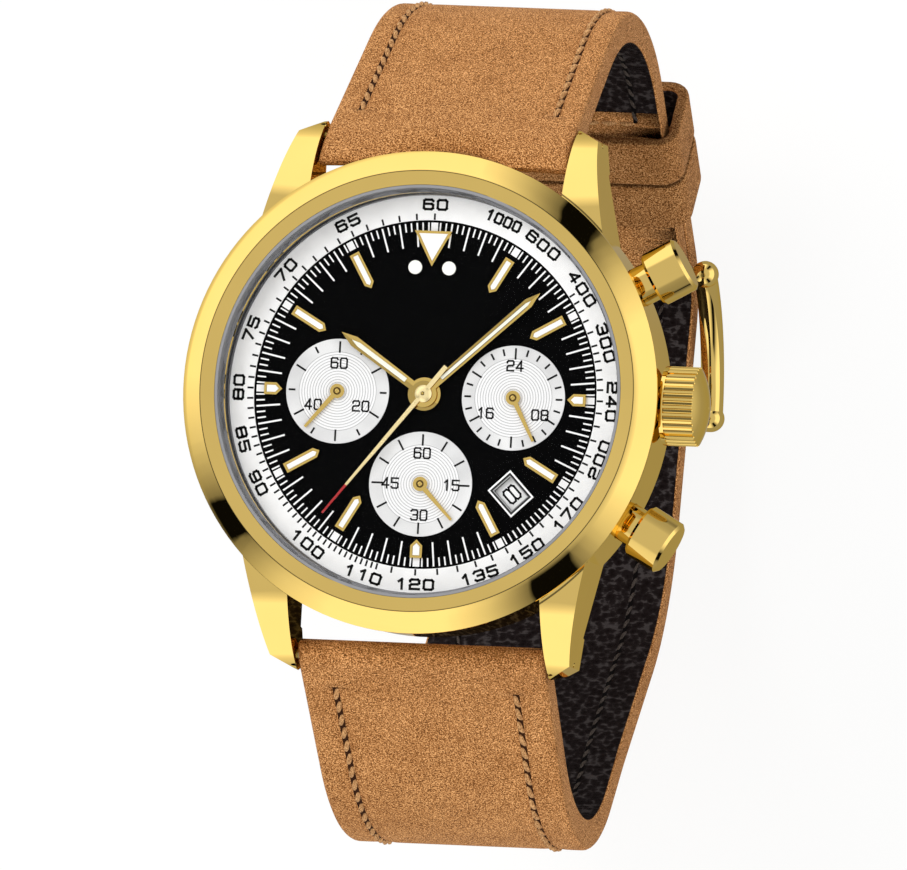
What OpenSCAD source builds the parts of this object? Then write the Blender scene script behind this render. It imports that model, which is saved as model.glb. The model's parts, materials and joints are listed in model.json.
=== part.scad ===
// Chronograph wristwatch on a two-piece leather strap, buckled as worn.
// +X points to 3 o'clock, +Y to 12 o'clock and +Z out of the dial.
// The origin is the centre of the case back's outer face.

/* [Case] */
// Width of the bezel outside the crystal
bezel_w = 3.3; // [2.8:0.1:4]
// Height of the bezel above its seat
bezel_h = 1.8; // [1.7:0.05:2.2]
// Width of the bezel's inner slope
crest_w = 1.2; // [0.9:0.05:1.4]
// Drop of the bezel's inner slope
bezel_drop = 0.35; // [0.3:0.05:0.5]
// Height of the bezel's upright rim
bezel_rim = 0.3; // [0.2:0.05:0.6]
// Radius of the bow of the bezel's outer slope
bezel_bow_r = 5; // [3:0.5:9]
// How far the bezel stands out over the case band
band_step = 0.3; // [0.1:0.05:0.5]
// Height of the bezel's seat above the case back
case_h = 9; // [8.8:0.1:10.5]
// Thickness of the case back's plate
back_t = 0.8; // [0.7:0.05:1]
// How far the case back lies inside the case band
back_step = 1.2; // [0.8:0.05:1.4]
// Height of the case back's spigot inside the bore
spigot_h = 0.9; // [0.6:0.05:1.1]
// Width of the case back's spigot
spigot_w = 1.2; // [0.8:0.1:1.4]
// How far the bore for the dial and the movement reaches past the crystal
bore_step = 0.5; // [0.4:0.05:0.7]
// Thickness of the shelf under the crystal
shelf_t = 0.5; // [0.4:0.05:0.7]
// Height of the collar that centres the bezel
collar_h = 0.6; // [0.4:0.05:0.8]
// Width of the collar
collar_w = 0.7; // [0.5:0.05:0.9]
// Distance of the collar's middle outside the bore
collar_step = 1.05; // [0.9:0.05:1.3]
// Number of key slots in the case back's rim
back_slots = 6; // [4:1:8]

/* [Lugs] */
// How far the lugs reach past the case band
lug_reach = 3.3; // [3.1:0.05:4]
// Width of a lug at its root
lug_root_w = 4.35; // [3.8:0.05:4.6]
// Width of a lug at its tip
lug_tip_w = 2.1; // [1.9:0.1:2.6]
// How far the outer corner of a lug's tip lies behind the inner one
lug_slant = 1.1; // [0.6:0.1:1.4]
// Distance of the spring bars outside the case band
bar_reach = 1.9; // [1.8:0.05:2.2]
// Height of the spring bars
bar_z = 1.2; // [0.9:0.05:1.5]
// Diameter of a spring bar
bar_d = 1.5; // [1.3:0.05:1.8]
// Diameter of a spring bar's tips
bar_tip_d = 0.8; // [0.6:0.05:1]
// Depth of the holes for the tips
bar_hole_depth = 1.4; // [1:0.05:1.6]

/* [Crystal and dial] */
// Diameter of the crystal
crystal_d = 35.4; // [33:0.1:39]
// Thickness of the crystal
crystal_t = 1.4; // [1.2:0.05:1.6]
// Wall of the crystal's gasket
gasket_t = 0.24; // [0.2:0.01:0.3]
// Width of the gasket's lip under the crystal
lip_w = 0.25; // [0.2:0.01:0.4]
// Height of the gasket's lip
lip_h = 0.2; // [0.15:0.01:0.25]
// Height of the polished wall round the dial
rehaut_h = 1.45; // [1.3:0.05:1.5]
// Thickness of the tachymeter ring
ring_t = 0.15; // [0.1:0.01:0.2]
// Distance of the tachymeter ring's inner edge from the crystal's edge
ring_w = 2.5; // [2.3:0.05:2.8]
// Thickness of the dial
dial_t = 0.4; // [0.3:0.05:0.5]
// Diameter of a sub-dial as a share of the tachymeter ring's inner radius
subdial_share = 0.605; // [0.57:0.005:0.61]
// Distance of the sub-dials from the tachymeter ring
subdial_inset = 2.8; // [2.75:0.05:3]
// Depth of a sub-dial's recess
subdial_depth = 0.15; // [0.1:0.01:0.2]
// Thickness of a sub-dial's disc
subdial_t = 0.12; // [0.08:0.01:0.15]
// Direction of the date window, clockwise from 12 o'clock
date_angle = 136; // [133:0.5:138]
// Distance of the date window's middle from the tachymeter ring
date_inset = 3.6; // [3.5:0.05:3.8]
// Radial length of the date frame
date_l = 3.15; // [2.9:0.05:3.3]
// Width of the date frame
date_w = 2.65; // [2.4:0.05:2.8]
// Width of the date frame's rim
date_rim = 0.4; // [0.3:0.05:0.5]

/* [Hour markers] */
// Distance of the long markers from the tachymeter ring
marker_inset = 1.35; // [1:0.05:1.6]
// Length of a long marker
marker_l = 3.4; // [3:0.1:3.6]
// Width of a long marker
marker_w = 0.9; // [0.8:0.05:1]
// Distance of the short markers from the tachymeter ring
short_inset = 0.95; // [0.8:0.05:1.1]
// Length of a short marker
short_l = 1.6; // [1.4:0.05:1.7]
// Width of a short marker
short_w = 1.05; // [0.9:0.05:1.2]
// Width of the triangle at 12 o'clock
triangle_w = 3.3; // [3:0.1:3.6]
// Height of the triangle at 12 o'clock
triangle_l = 3.1; // [2.8:0.1:3.4]
// Height of the markers above the dial
marker_h = 0.35; // [0.25:0.05:0.4]
// Width of a marker's rim
marker_rim = 0.2; // [0.15:0.01:0.25]
// Diameter of the dots beside the triangle
dot_d = 1.2; // [1:0.05:1.3]
// Distance of the dots from the 12 o'clock line
dot_x = 1.5; // [1.4:0.05:1.8]
// Distance of the dots below the top of the triangle
dot_drop = 3.2; // [2.9:0.05:3.4]

/* [Hands] */
// Length of the hour hand
hour_hand_l = 9.2; // [8.6:0.1:9.8]
// Width of the hour hand
hour_hand_w = 0.95; // [0.8:0.05:1.1]
// Length of the minute hand
minute_hand_l = 13.4; // [12.6:0.1:14]
// Width of the minute hand
minute_hand_w = 0.85; // [0.7:0.05:1]
// Length of the chronograph second hand
second_hand_l = 13.6; // [12.6:0.1:14.2]
// Width of the chronograph second hand at its hub
second_hand_w = 0.4; // [0.3:0.05:0.5]
// Length of the chronograph second hand's tail
second_tail_l = 3.1; // [2.6:0.1:3.4]
// Distance of a sub-dial hand's tip from the sub-dial's edge
sub_hand_inset = 0.4; // [0.2:0.05:0.8]
// Width of the sub-dial hands at their hubs
sub_hand_w = 0.45; // [0.35:0.05:0.55]
// Thickness of the hands
hand_t = 0.15; // [0.12:0.01:0.18]
// Width of the luminous slot in the hour and minute hands
slot_w = 0.4; // [0.3:0.02:0.5]
// Distance of that slot from the centre
slot_from = 2.05; // [1.9:0.05:2.4]
// Diameter of the hour hand's hub
hour_hub_d = 2.9; // [2.6:0.1:3.2]
// Diameter of the minute hand's hub
minute_hub_d = 2.3; // [2:0.1:2.5]
// Diameter of the second hand's domed cap
cap_d = 1.5; // [1.3:0.05:1.8]
// Diameter of a sub-dial hand's hub
sub_hub_d = 1.25; // [1:0.05:1.4]
// Hour hand at rest, degrees clockwise from 12 o'clock
hour_angle = 304; // [0:1:359]
// Minute hand at rest
minute_angle = 47; // [0:1:359]
// Chronograph second hand at rest
second_angle = 218; // [0:1:359]
// Small second hand at rest
small_second_angle = 136; // [0:1:359]
// 24 hour hand at rest
day_angle = 152; // [0:1:359]
// Chronograph minute hand at rest
chrono_minute_angle = 220; // [0:1:359]

/* [Crown and pushers] */
// Height of the crown and the pushers
stem_z = 4.9; // [4.8:0.05:5]
// Diameter of the crown
crown_d = 6.9; // [6.4:0.1:7.2]
// Length of the crown
crown_l = 3.8; // [3.4:0.1:4.4]
// Radius of the crown's domed end
crown_dome_r = 7.1; // [5:0.1:8]
// Number of flutes round the crown
crown_flutes = 32; // [24:2:40]
// Radius of a flute
flute_r = 0.24; // [0.18:0.01:0.28]
// Diameter of the crown's tube
crown_tube_d = 3.2; // [3:0.1:3.6]
// Diameter of the stem
stem_d = 1.2; // [1:0.05:1.3]
// Side of the stem's square
stem_square = 0.8; // [0.7:0.02:0.84]
// How far the crown pulls out
crown_pull = 1.2; // [0.8:0.1:1.4]
// Direction of the pushers from 3 o'clock
pusher_angle = 29.5; // [29:0.5:31]
// How far the pushers reach past the case band
pusher_reach = 4.6; // [4.3:0.1:5.2]
// Diameter of a pusher's cap
pusher_d = 4.9; // [4.7:0.1:5.2]
// Length of a pusher's cap
pusher_l = 3.25; // [3:0.05:3.5]
// Diameter of a pusher's tube
pusher_tube_d = 3.5; // [3.3:0.1:3.7]
// How far the pushers travel
pusher_travel = 0.8; // [0.5:0.05:0.9]
// Diameter of a pusher's rod
rod_d = 1; // [0.8:0.05:1.1]
// Wire diameter of a pusher's spring
wire_d = 0.28; // [0.22:0.01:0.3]
// Number of turns of a pusher's spring
spring_turns = 4; // [3:1:4]

/* [Strap] */
// Width of the strap between the lugs
strap_w = 22; // [21:0.1:22.4]
// Width of the strap at the buckle
buckle_w = 20.4; // [19:0.1:21]
// Distance over which the strap narrows
taper_l = 45; // [30:1:55]
// Thickness of the outer leather
leather_t = 1.8; // [1.5:0.05:2]
// Thickness of the lining
lining_t = 0.9; // [0.7:0.05:1.1]
// Radius of the leather's outer edges
edge_r = 0.6; // [0.3:0.05:0.8]
// Length of the leather turned back at a lug end
fold_l = 4.5; // [3.5:0.5:7]
// Length of the leather turned back at the buckle
buckle_fold_l = 20.5; // [19:0.5:25]
// Slope at which the 12 o'clock half leaves its lugs
upper_slope_angle = 56; // [54:0.5:60]
// Straight length of the 12 o'clock half next to its lugs
upper_lead = 16; // [14:0.5:17]
// Radius of the 12 o'clock half's shoulder
upper_shoulder_r = 22; // [20:1:28]
// Radius of the 12 o'clock half's turn to the back
upper_turn_r = 22; // [18:0.5:24]
// Direction of the 12 o'clock half at the back
upper_back_angle = 132; // [128:0.5:134]
// Straight length of the 12 o'clock half at the back
upper_back_l = 20; // [19.5:0.1:21]
// Slope at which the 6 o'clock half leaves its lugs
lower_slope_angle = 50; // [48:0.5:53]
// Straight length of the 6 o'clock half next to its lugs
lower_lead = 13.3; // [12:0.1:15]
// Radius of the 6 o'clock half's shoulder
lower_shoulder_r = 20; // [18:0.5:24]
// Radius of the 6 o'clock half's turn to the back
lower_turn_r = 16; // [14:0.5:18]
// Direction of the 6 o'clock half's run down to the back
lower_fall_angle = 130; // [127:0.5:133]
// Length of that run
lower_fall_l = 20.5; // [18:0.5:22]
// Radius of the turn at the back
lower_back_r = 22; // [19:0.5:25]
// Direction of the 6 o'clock half under the buckle
lower_back_angle = 170; // [168:0.5:172]
// Radius of the bend over the buckle's bar
tail_bend_r = 6; // [5:0.5:7]
// Length of the tail past the buckle's bar
tail_l = 19; // [17:0.5:20]
// Length of the tail's rounded tip
tip_l = 9; // [6:0.5:10]
// Diameter of the buckle holes
hole_d = 1.8; // [1.5:0.1:2.2]
// Distance between buckle holes
hole_pitch = 6; // [5.5:0.1:7]
// Number of buckle holes each side of the one in use
hole_count = 3; // [2:1:3]

/* [Buckle and keepers] */
// Distance from the buckle's bar to its heel
buckle_l = 13.7; // [13:0.1:15]
// Diameter of the buckle's rounded frame
frame_d = 2.4; // [2:0.1:2.6]
// Radius of the frame's bowed sides
frame_bow_r = 15; // [12:0.5:25]
// Diameter of the buckle's bar
buckle_bar_d = 1.4; // [1.2:0.05:1.5]
// Diameter of the prong
prong_d = 1.4; // [1.2:0.05:1.5]
// Radius of the prong's bow
prong_bow_r = 21; // [19:0.5:24]
// Width of the prong's eye
prong_eye_w = 2.6; // [2:0.1:3]
// Length of the slot that the prong has drawn in the strap
prong_slot_l = 7.2; // [6.8:0.1:7.4]
// Width of the keepers along the strap
keeper_w = 5; // [4.4:0.1:5.4]
// Thickness of the keepers
keeper_t = 1; // [0.8:0.05:1.3]
// Distance of the fixed keeper's middle from the buckle's bar
keeper_d = 10; // [9:0.1:10.4]

/* [Movement] */
// Width of the movement holder round the main plate
holder_w = 1.65; // [1.5:0.05:1.8]
// Thickness of the movement cover
cover_t = 0.3; // [0.25:0.01:0.4]
// Thickness of the circuit board
board_t = 0.3; // [0.25:0.01:0.4]
// Height of the holder's lip under the movement
holder_lip_h = 0.4; // [0.3:0.05:0.5]
// Width of the holder's lip
holder_lip_w = 0.7; // [0.5:0.05:0.9]
// Diameter of the battery
battery_d = 9.5; // [9.3:0.1:9.6]
// Thickness of the battery
battery_t = 2.1; // [1.8:0.05:2.2]
// Distance of the battery's middle from the main plate's edge
battery_inset = 6.6; // [6.2:0.1:6.8]
// Diameter of a motor coil
coil_d = 1.8; // [1.6:0.05:2]
// Length of a motor coil
coil_l = 7; // [6:0.1:7.5]
// Distance of the coils from the main plate's edge
coil_inset = 5.5; // [5:0.1:6]
// Width of the date disc inside the date window's middle
date_disc_in = 2.1; // [1.9:0.05:2.2]
// Width of the date disc outside the date window's middle
date_disc_out = 1.8; // [1.7:0.05:2]
// Thickness of the date disc
date_t = 0.25; // [0.2:0.01:0.28]
// Depth of the recess for the motion works
works_depth = 1.4; // [1.38:0.01:1.5]
// Radius of the recess for the motion works
works_r = 6; // [5.7:0.1:6.2]
// Gear module of the cannon pinion and the minute wheel
minute_module = 0.125; // [0.12:0.001:0.128]
// Teeth of the cannon pinion
cannon_teeth = 12; // [12:1:12]
// Teeth of the minute wheel
minute_teeth = 36; // [36:1:36]
// Teeth of the minute wheel's pinion
minute_pinion_teeth = 10; // [10:1:10]
// Teeth of the hour wheel
hour_teeth = 40; // [40:1:40]
// Diameter of the chronograph second arbor
arbor_d = 0.6; // [0.5:0.02:0.64]
// Wall of the cannon and hour tubes
tube_wall = 0.25; // [0.22:0.01:0.26]
// Diameter of the sub-dial arbors
sub_arbor_d = 0.44; // [0.36:0.02:0.5]

/* [Clearances] */
// Gap round a seated piece
seat_gap = 0.03; // [0.02:0.01:0.04]
// Radial gap of a running fit
run_gap = 0.05; // [0.04:0.01:0.06]
// Gap between the strap and a lug
lug_gap = 0.2; // [0.15:0.01:0.3]
// Gap between the strap's overlapping halves
lap_gap = 0.25; // [0.2:0.01:0.35]
// Gap between the strap and a keeper
keeper_gap = 0.4; // [0.35:0.01:0.5]
// Gap between the bore and the pieces inside it
bore_gap = 0.05; // [0.04:0.01:0.08]
// Gap between the crown and the case band
crown_gap = 0.25; // [0.2:0.01:0.4]
// Gap between the buckle's heel and the strap
heel_gap = 0.3; // [0.2:0.01:0.4]

/* [Hidden] */
$fn = 96;
eps = 0.01;
gold = "#d9b650";
steel = "#c4c6c8";
brass = "#c9a95c";
white = "#f4f4f0";
black = "#101010";
tan_leather = "#bf7d42";
dark_leather = "#2b2222";

// Levels, from the case back upwards
z_spigot = back_t + spigot_h;
z_cover = z_spigot + holder_lip_h;
z_board = z_cover + cover_t;
z_plate = z_board + board_t;
z_shelf = case_h - shelf_t;
z_ring = z_shelf - rehaut_h;
z_dial_top = z_ring - ring_t;
z_dial = z_dial_top - dial_t;
z_crystal = case_h + lip_h;
z_bezel = case_h + bezel_h;
z_subdial = z_dial_top - subdial_depth;
z_works = z_dial - works_depth;
date_recess = 0.4;
date_float = 0.05;
hand_gap = 0.12;
z_sub_hand = z_dial_top + hand_gap;
z_hour_hand = z_sub_hand + hand_t + hand_gap;
z_minute_hand = z_hour_hand + hand_t + hand_gap;
z_second_hand = z_minute_hand + hand_t + hand_gap;
cap_h = 0.35;
cap_dome_r = 1.1;
pin_hole_r = 0.16;
pin_hole_depth = 0.12;

// Radii of the case
bezel_r = crystal_d / 2 + bezel_w;
band_r = bezel_r - band_step;
back_r = band_r - back_step;
bore_r = crystal_d / 2 + bore_step;
collar_r = bore_r + collar_step;
inner_r = bore_r - bore_gap;
opening_r = crystal_d / 2 - lip_w;
gasket_in_r = crystal_d / 2 + seat_gap;
gasket_out_r = gasket_in_r + gasket_t;
bezel_bore_r = gasket_out_r + seat_gap;
crystal_chamfer = 0.15;
band_chamfer = 0.5;
band_edge = 0.15;
groove_h = 0.25;
groove_drop = 0.4;
groove_depth = 0.25;
rehaut_step = 0.1;
ring_in_r = crystal_d / 2 - ring_w;
subdial_d = subdial_share * ring_in_r;
subdial_r = ring_in_r - subdial_inset - subdial_d / 2;
sub_hand_l = subdial_d / 2 - sub_hand_inset;
date_r = ring_in_r - date_inset;
marker_r = ring_in_r - marker_inset;
short_r = ring_in_r - short_inset;
dot_y = short_r - dot_drop;
seal_in = 0.35;
seal_w = 0.4;
seal_h = 0.35;
key_slot = [0.9, 1.8, 0.35];

// Lug outline and profile
lug_in = strap_w / 2 + lug_gap;
lug_tip_y = band_r + lug_reach;
lug_root_in = 7.9;
lug_root_y = band_r - lug_root_in;
bar_y = band_r + bar_reach;
lug_top_z = z_shelf - 0.1;
lug_tip = [lug_tip_y - 0.1, bar_z + 0.4];
lug_end = [lug_tip_y, bar_z - 0.3];
lug_toe_in = 0.6;
lug_toe_drop = 2.6;
lug_toe = [lug_tip_y - lug_toe_in, bar_z - lug_toe_drop];
lug_heel_in = 3.7;
lug_heel_drop = 0.6;
lug_heel = [lug_tip_y - lug_heel_in, back_t - lug_heel_drop];
lug_run = lug_tip[0] - lug_root_y;
lug_fall = lug_top_z - lug_tip[1];
lug_arch_r = (pow(lug_run, 2) + pow(lug_fall, 2)) / (2 * lug_fall);
lug_arch = [lug_root_y, lug_top_z - lug_arch_r];
lug_line_r = 0.2;
lug_line_at = 0.6;
bar_end = 0.3;
bar_tip_room = 0.1;

// Crown and pushers
crown_r = crown_d / 2;
crown_x = band_r + crown_gap;
crown_recess = 1;
crown_rim = 0.35;
tube_room = 0.25;
tube_end_gap = 0.15;
pusher_r = band_r + pusher_reach;
stem_depth = 1.1;
stem_r = stem_d / 2;
pinion_in = 4.5;
pinion_x = bore_r - pinion_in;
stem_in_x = pinion_x - crown_pull;
square_l = 3.4;
pinion_w = 1.4;
pinion_r = 1.1;
pinion_teeth = 14;
pinion_module = 0.15;
pinion_room = 0.3;
oring_t = 0.5;
oring_x = bore_r + 1.7;
cap_x = pusher_r - pusher_l;
cap_recess = 1.5;
cap_edge = 0.25;
cap_room = 0.15;
rod_r = rod_d / 2;
rod_in = bore_r - 1;
rod_room = 0.3;
tube_out_x = cap_x + 0.5;
spring_seat_out = 2.2;
spring_seat_x = bore_r + spring_seat_out;
spring_r = rod_r + 0.45;
spring_room = 0.15;
clip_w = 0.5;
clip_t = 0.25;
clip_x = bore_r - 0.25;
clip_neck = 0.12;
spring_step = 12;
spring_sides = 6;

// Motion works
works_d = minute_module * (cannon_teeth + minute_teeth) / 2;
hour_module = 2 * works_d / (minute_pinion_teeth + hour_teeth);
works_float = 0.05;
cannon_pinion_h = 0.5;
minute_wheel_h = 0.4;
minute_pinion_h = 0.7;
hour_wheel_z = 0.7;
hour_wheel_h = 0.3;
post_r = 0.25;
post_h = 1.25;
arbor_r = arbor_d / 2;
cannon_in = arbor_r + run_gap;
cannon_out = cannon_in + tube_wall;
hour_in = cannon_out + run_gap;
hour_out = hour_in + tube_wall;
dial_hole_r = hour_out + 2 * run_gap;
arbor_depth = 1;
sub_arbor_r = sub_arbor_d / 2;
sub_arbor_depth = 1.4;
sub_hole_r = 0.5;
date_teeth = 31;
date_tooth_h = 0.4;
plate_r = inner_r - holder_w;
plate_d = 2 * plate_r;
battery_r = plate_r - battery_inset;
coil_r = plate_r - coil_inset;
date_in_d = 2 * (date_r - date_disc_in);
date_out_d = 2 * (date_r + date_disc_out);
screw_in = 2;
screw_r = plate_r - screw_in;
screw_slot = [0.24, 0.16];
screw_angles = [75, 165, 285];
screw_head_r = 0.8;
screw_head_h = 0.35;
screw_shank_r = 0.4;
screw_l = 1.8;
battery_angle = 221;
coil_angles = [66, 310];
coil_core = 0.5;
coil_room = 0.15;

// Strap route, as [distance, height, heading] outwards from a spring bar
strap_t = leather_t + lining_t;
half_t = strap_t / 2;
glue_n = lining_t - half_t;
glue_gap = 0.02;
ring_step = 1.5;
lining_edge = 0.1;
function arc_l(r, turn) = r * turn * PI / 180;
upper_start = [bar_y, bar_z, -upper_slope_angle];
upper_runs = [
  [upper_lead, 0],
  [arc_l(upper_shoulder_r, 90 - upper_slope_angle), 90 - upper_slope_angle],
  [arc_l(upper_turn_r, upper_back_angle - 90), upper_back_angle - 90],
  [upper_back_l, 0]
];
upper_l = sum([for (r = upper_runs) r[0]]);
buckle_at = along(upper_start, upper_runs, upper_l);
lower_start = [bar_y, bar_z, -lower_slope_angle];
lower_lead_runs = [
  [lower_lead, 0],
  [arc_l(lower_shoulder_r, 90 - lower_slope_angle), 90 - lower_slope_angle],
  [arc_l(lower_turn_r, lower_fall_angle - 90), lower_fall_angle - 90],
  [lower_fall_l, 0],
  [arc_l(lower_back_r, lower_back_angle - lower_fall_angle), lower_back_angle - lower_fall_angle]
];
lower_lead_l = sum([for (r = lower_lead_runs) r[0]]);
back_at = along(lower_start, lower_lead_runs, lower_lead_l);

// The tail runs on straight, then bends to lie on the back of the 12 o'clock half
lap = strap_t + lap_gap;
back_dir = unit(back_at[2]);
tail_dir = unit(upper_back_angle - 360);
tail_foot = [-buckle_at[0] + lap * sin(buckle_at[2]), buckle_at[1] + lap * cos(buckle_at[2])];
tail_turn = 360 - upper_back_angle - lower_back_angle;
tail_cut = tail_bend_r * tan(tail_turn / 2);
to_foot = tail_foot - [back_at[0], back_at[1]];
tail_run = cross(to_foot, tail_dir) / cross(back_dir, tail_dir) - tail_cut;
tail_from = cross(to_foot, back_dir) / cross(back_dir, tail_dir) + tail_cut;
lower_runs = concat(lower_lead_runs, [
  [tail_run, 0],
  [arc_l(tail_bend_r, tail_turn), tail_turn],
  [tail_l - tail_from, 0]
]);
lower_l = sum([for (r = lower_runs) r[0]]);

// Buckle, in the plane across the strap: [Y, Z]
bar_at = [buckle_at[0], buckle_at[1]];
tail_at = [-back_at[0], back_at[1]];
tail_u = [-back_dir[0], back_dir[1]];
tail_m = [tail_u[1], -tail_u[0]];
frame_r = frame_d / 2;
heel_off = half_t + heel_gap + frame_r;
bar_off = (bar_at - tail_at) * tail_m;
heel_run = (bar_at - tail_at) * tail_u - sqrt(pow(buckle_l, 2) - pow(heel_off - bar_off, 2));
heel_at = tail_at + heel_run * tail_u + heel_off * tail_m;
frame_centre = arc_centre(heel_at, bar_at, frame_bow_r);
frame_in = buckle_w / 2 + keeper_gap;
frame_x = frame_in + frame_r;
arm_r = 0.86 * frame_r;
prong_r = prong_d / 2;
prong_over_angle = 3;
prong_rest = 0.08;
prong_centre = meet(heel_at, prong_bow_r - frame_r - prong_r - prong_rest, bar_at, prong_bow_r);
prong_tip = prong_centre + prong_bow_r * unit(angle_of(heel_at - prong_centre) - prong_over_angle);
prong_off = prong_centre - tail_at;
prong_run = prong_off * tail_u + sqrt(pow(prong_bow_r, 2) - pow(prong_off * tail_m, 2));
prong_slot_shift = 0.5;
prong_room = 0.3;
prong_slot_w = prong_d + 2 * prong_room;
prong_s = lower_lead_l + prong_run;
eye_wall = 0.5;
eye_r = buckle_bar_d / 2 + run_gap + eye_wall;
notch_l = 3.2;
bar_neck_r = 0.45;
bar_neck_end = 0.7;
bar_socket_end = 0.6;
bar_shoulder_gap = 0.1;
keeper_corner = 2;
keeper_inner_corner = 0.6;
keeper_space = 0.5;

function unit(a) = [cos(a), sin(a)];
function sum(v, i = 0) = i < len(v) ? v[i] + sum(v, i + 1) : 0;

// State after a run of length l that turns inwards by t degrees
function run(p, l, t) = t == 0
  ? [p[0] + l * cos(p[2]), p[1] + l * sin(p[2]), p[2]]
  : let (r = l * 180 / (PI * t))
    [p[0] + r * (sin(p[2]) - sin(p[2] - t)), p[1] + r * (cos(p[2] - t) - cos(p[2])), p[2] - t];

// State at distance s along a list of runs
function along(p, runs, s, i = 0) = i == len(runs) - 1 || s <= runs[i][0]
  ? run(p, s, runs[i][1] * s / runs[i][0])
  : along(run(p, runs[i][0], runs[i][1]), runs, s - runs[i][0], i + 1);

// Centre of the circle of radius r through p and q, to the left of the line from p to q
function arc_centre(p, q, r) = let (d = q - p, c = norm(d))
  (p + q) / 2 + [-d[1], d[0]] / c * sqrt(r * r - c * c / 4);

// Meeting point of the circle of radius r round p and that of radius q round o, to the left of p to o
function meet(p, r, o, q) = let (d = o - p, c = norm(d), a = (r * r - q * q + c * c) / (2 * c))
  p + a * d / c + sqrt(r * r - a * a) * [-d[1], d[0]] / c;

function angle_of(p) = atan2(p[1], p[0]);
function spaced(a, b, step) = let (n = ceil((b - a) / step)) [for (i = [0:n]) a + (b - a) * i / n];

// Width of the strap at distance s from its spring bar
function strap_width(s) = max(buckle_w, strap_w - (strap_w - buckle_w) * max(s, 0) / taper_l);

// One cross-section of a strap layer, from inner face lo to outer face hi, with edges rounded by e
function strap_ring(st, w, lo, hi, e) = [
  for (q = [
    [-w / 2, lo], [w / 2, lo], [w / 2, hi - e], [w / 2 - 0.3 * e, hi - 0.3 * e], [w / 2 - e, hi],
    [e - w / 2, hi], [0.3 * e - w / 2, hi - 0.3 * e], [-w / 2, hi - e]
  ]) [q[0], st[0] - q[1] * sin(st[2]), st[1] + q[1] * cos(st[2])]
];

// Closed skin over a list of rings with equal numbers of points
module skin(rings) {
  n = len(rings[0]);
  m = len(rings);
  sides = [for (i = [0:m - 2], j = [0:n - 1]) each [
    [i * n + j, i * n + (j + 1) % n, (i + 1) * n + (j + 1) % n],
    [i * n + j, (i + 1) * n + (j + 1) % n, (i + 1) * n + j]
  ]];
  first = [for (j = [n - 1:-1:0]) j];
  last = [for (j = [0:n - 1]) (m - 1) * n + j];
  polyhedron([for (r = rings) each r], concat([first], sides, [last]), convexity = 10);
}

// Places children on the strap: local Y along it, local Z out of it
module on_strap(st) {
  translate([0, st[0], st[1]]) rotate([st[2], 0, 0]) children();
}

// Extrudes a shape drawn in Y and Z along +X
module yz(h) {
  rotate([90, 0, 90]) linear_extrude(h) children();
}

// Places children, made along +Z, on a radial axis through the case wall
module radial(angle) {
  translate([0, 0, stem_z]) rotate([0, 0, angle]) rotate([0, 90, 0]) children();
}

module rod_x(p, d, l) {
  translate([-l / 2, p[0], p[1]]) rotate([0, 90, 0]) cylinder(d = d, h = l);
}

// Arc of a round bar in the plane of Y and Z, from p to q round c
module bow(p, q, c, r) {
  a = angle_of(p - c);
  translate([0, c[0], c[1]]) rotate([90, 0, 90]) rotate([0, 0, a])
    rotate_extrude(angle = angle_of(q - c) - a) translate([norm(p - c), 0]) circle(r);
}

module rounded_rect(x0, x1, y0, y1, r) {
  translate([x0 + r, y0]) square([x1 - x0 - 2 * r, y1 - y0]);
  translate([x0, y0 + r]) square([x1 - x0, y1 - y0 - 2 * r]);
  for (x = [x0 + r, x1 - r], y = [y0 + r, y1 - r]) translate([x, y]) circle(r);
}

module ring(r_in, r_out, z, h) {
  rotate_extrude() translate([r_in, z]) square([r_out - r_in, h]);
}

// Places children at a dial direction, clockwise from 12 o'clock
module at_angle(a) {
  rotate([0, 0, -a]) children();
}

module gear(teeth, m, h, phase) {
  r = m * teeth / 2;
  p = 360 / teeth;
  linear_extrude(h) polygon([for (i = [0:teeth - 1]) each [
    (r - 1.25 * m) * unit(phase + (i - 0.27) * p),
    (r + 0.9 * m) * unit(phase + (i - 0.11) * p),
    (r + 0.9 * m) * unit(phase + (i + 0.11) * p),
    (r - 1.25 * m) * unit(phase + (i + 0.27) * p)
  ]]);
}

module band_profile() {
  z_groove = case_h - groove_drop;
  polygon([
    [opening_r, z_shelf], [bore_r, z_shelf], [bore_r, back_t], [band_r - band_chamfer, back_t],
    [band_r, back_t + band_chamfer], [band_r, z_groove - groove_h],
    [band_r - groove_depth, z_groove - groove_h],
    [band_r - groove_depth, z_groove], [band_r, z_groove], [band_r, case_h - band_edge],
    [band_r - band_edge, case_h], [collar_r + collar_w / 2, case_h],
    [collar_r + collar_w / 2, case_h + collar_h], [collar_r - collar_w / 2, case_h + collar_h],
    [collar_r - collar_w / 2, case_h], [opening_r, case_h]
  ]);
}

module lug() {
  line_angle = angle_of(lug_tip - lug_arch) + lug_line_at * 180 / (PI * lug_arch_r);
  difference() {
    intersection() {
      linear_extrude(2 * case_h, center = true) polygon([
        [lug_in, lug_root_y], [lug_in + lug_root_w, lug_root_y], [lug_in + lug_tip_w, lug_tip_y - lug_slant],
        [lug_in, lug_tip_y]
      ]);
      yz(band_r) intersection() {
        polygon([
          [lug_root_y, lug_top_z], [lug_tip_y, lug_top_z], lug_tip, lug_end, lug_toe, lug_heel,
          [band_r - band_chamfer, back_t], [lug_root_y, back_t]
        ]);
        translate(lug_arch) circle(lug_arch_r, $fn = 180);
      }
    }
    translate([lug_in, lug_arch[0], lug_arch[1]]) rotate([line_angle, 0, 0]) translate([0, lug_arch_r, 0])
      rotate([0, 90, -atan(lug_slant / lug_tip_w)])
        cylinder(r = lug_line_r, h = 3 * lug_root_w, center = true, $fn = 24);
  }
}

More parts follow.
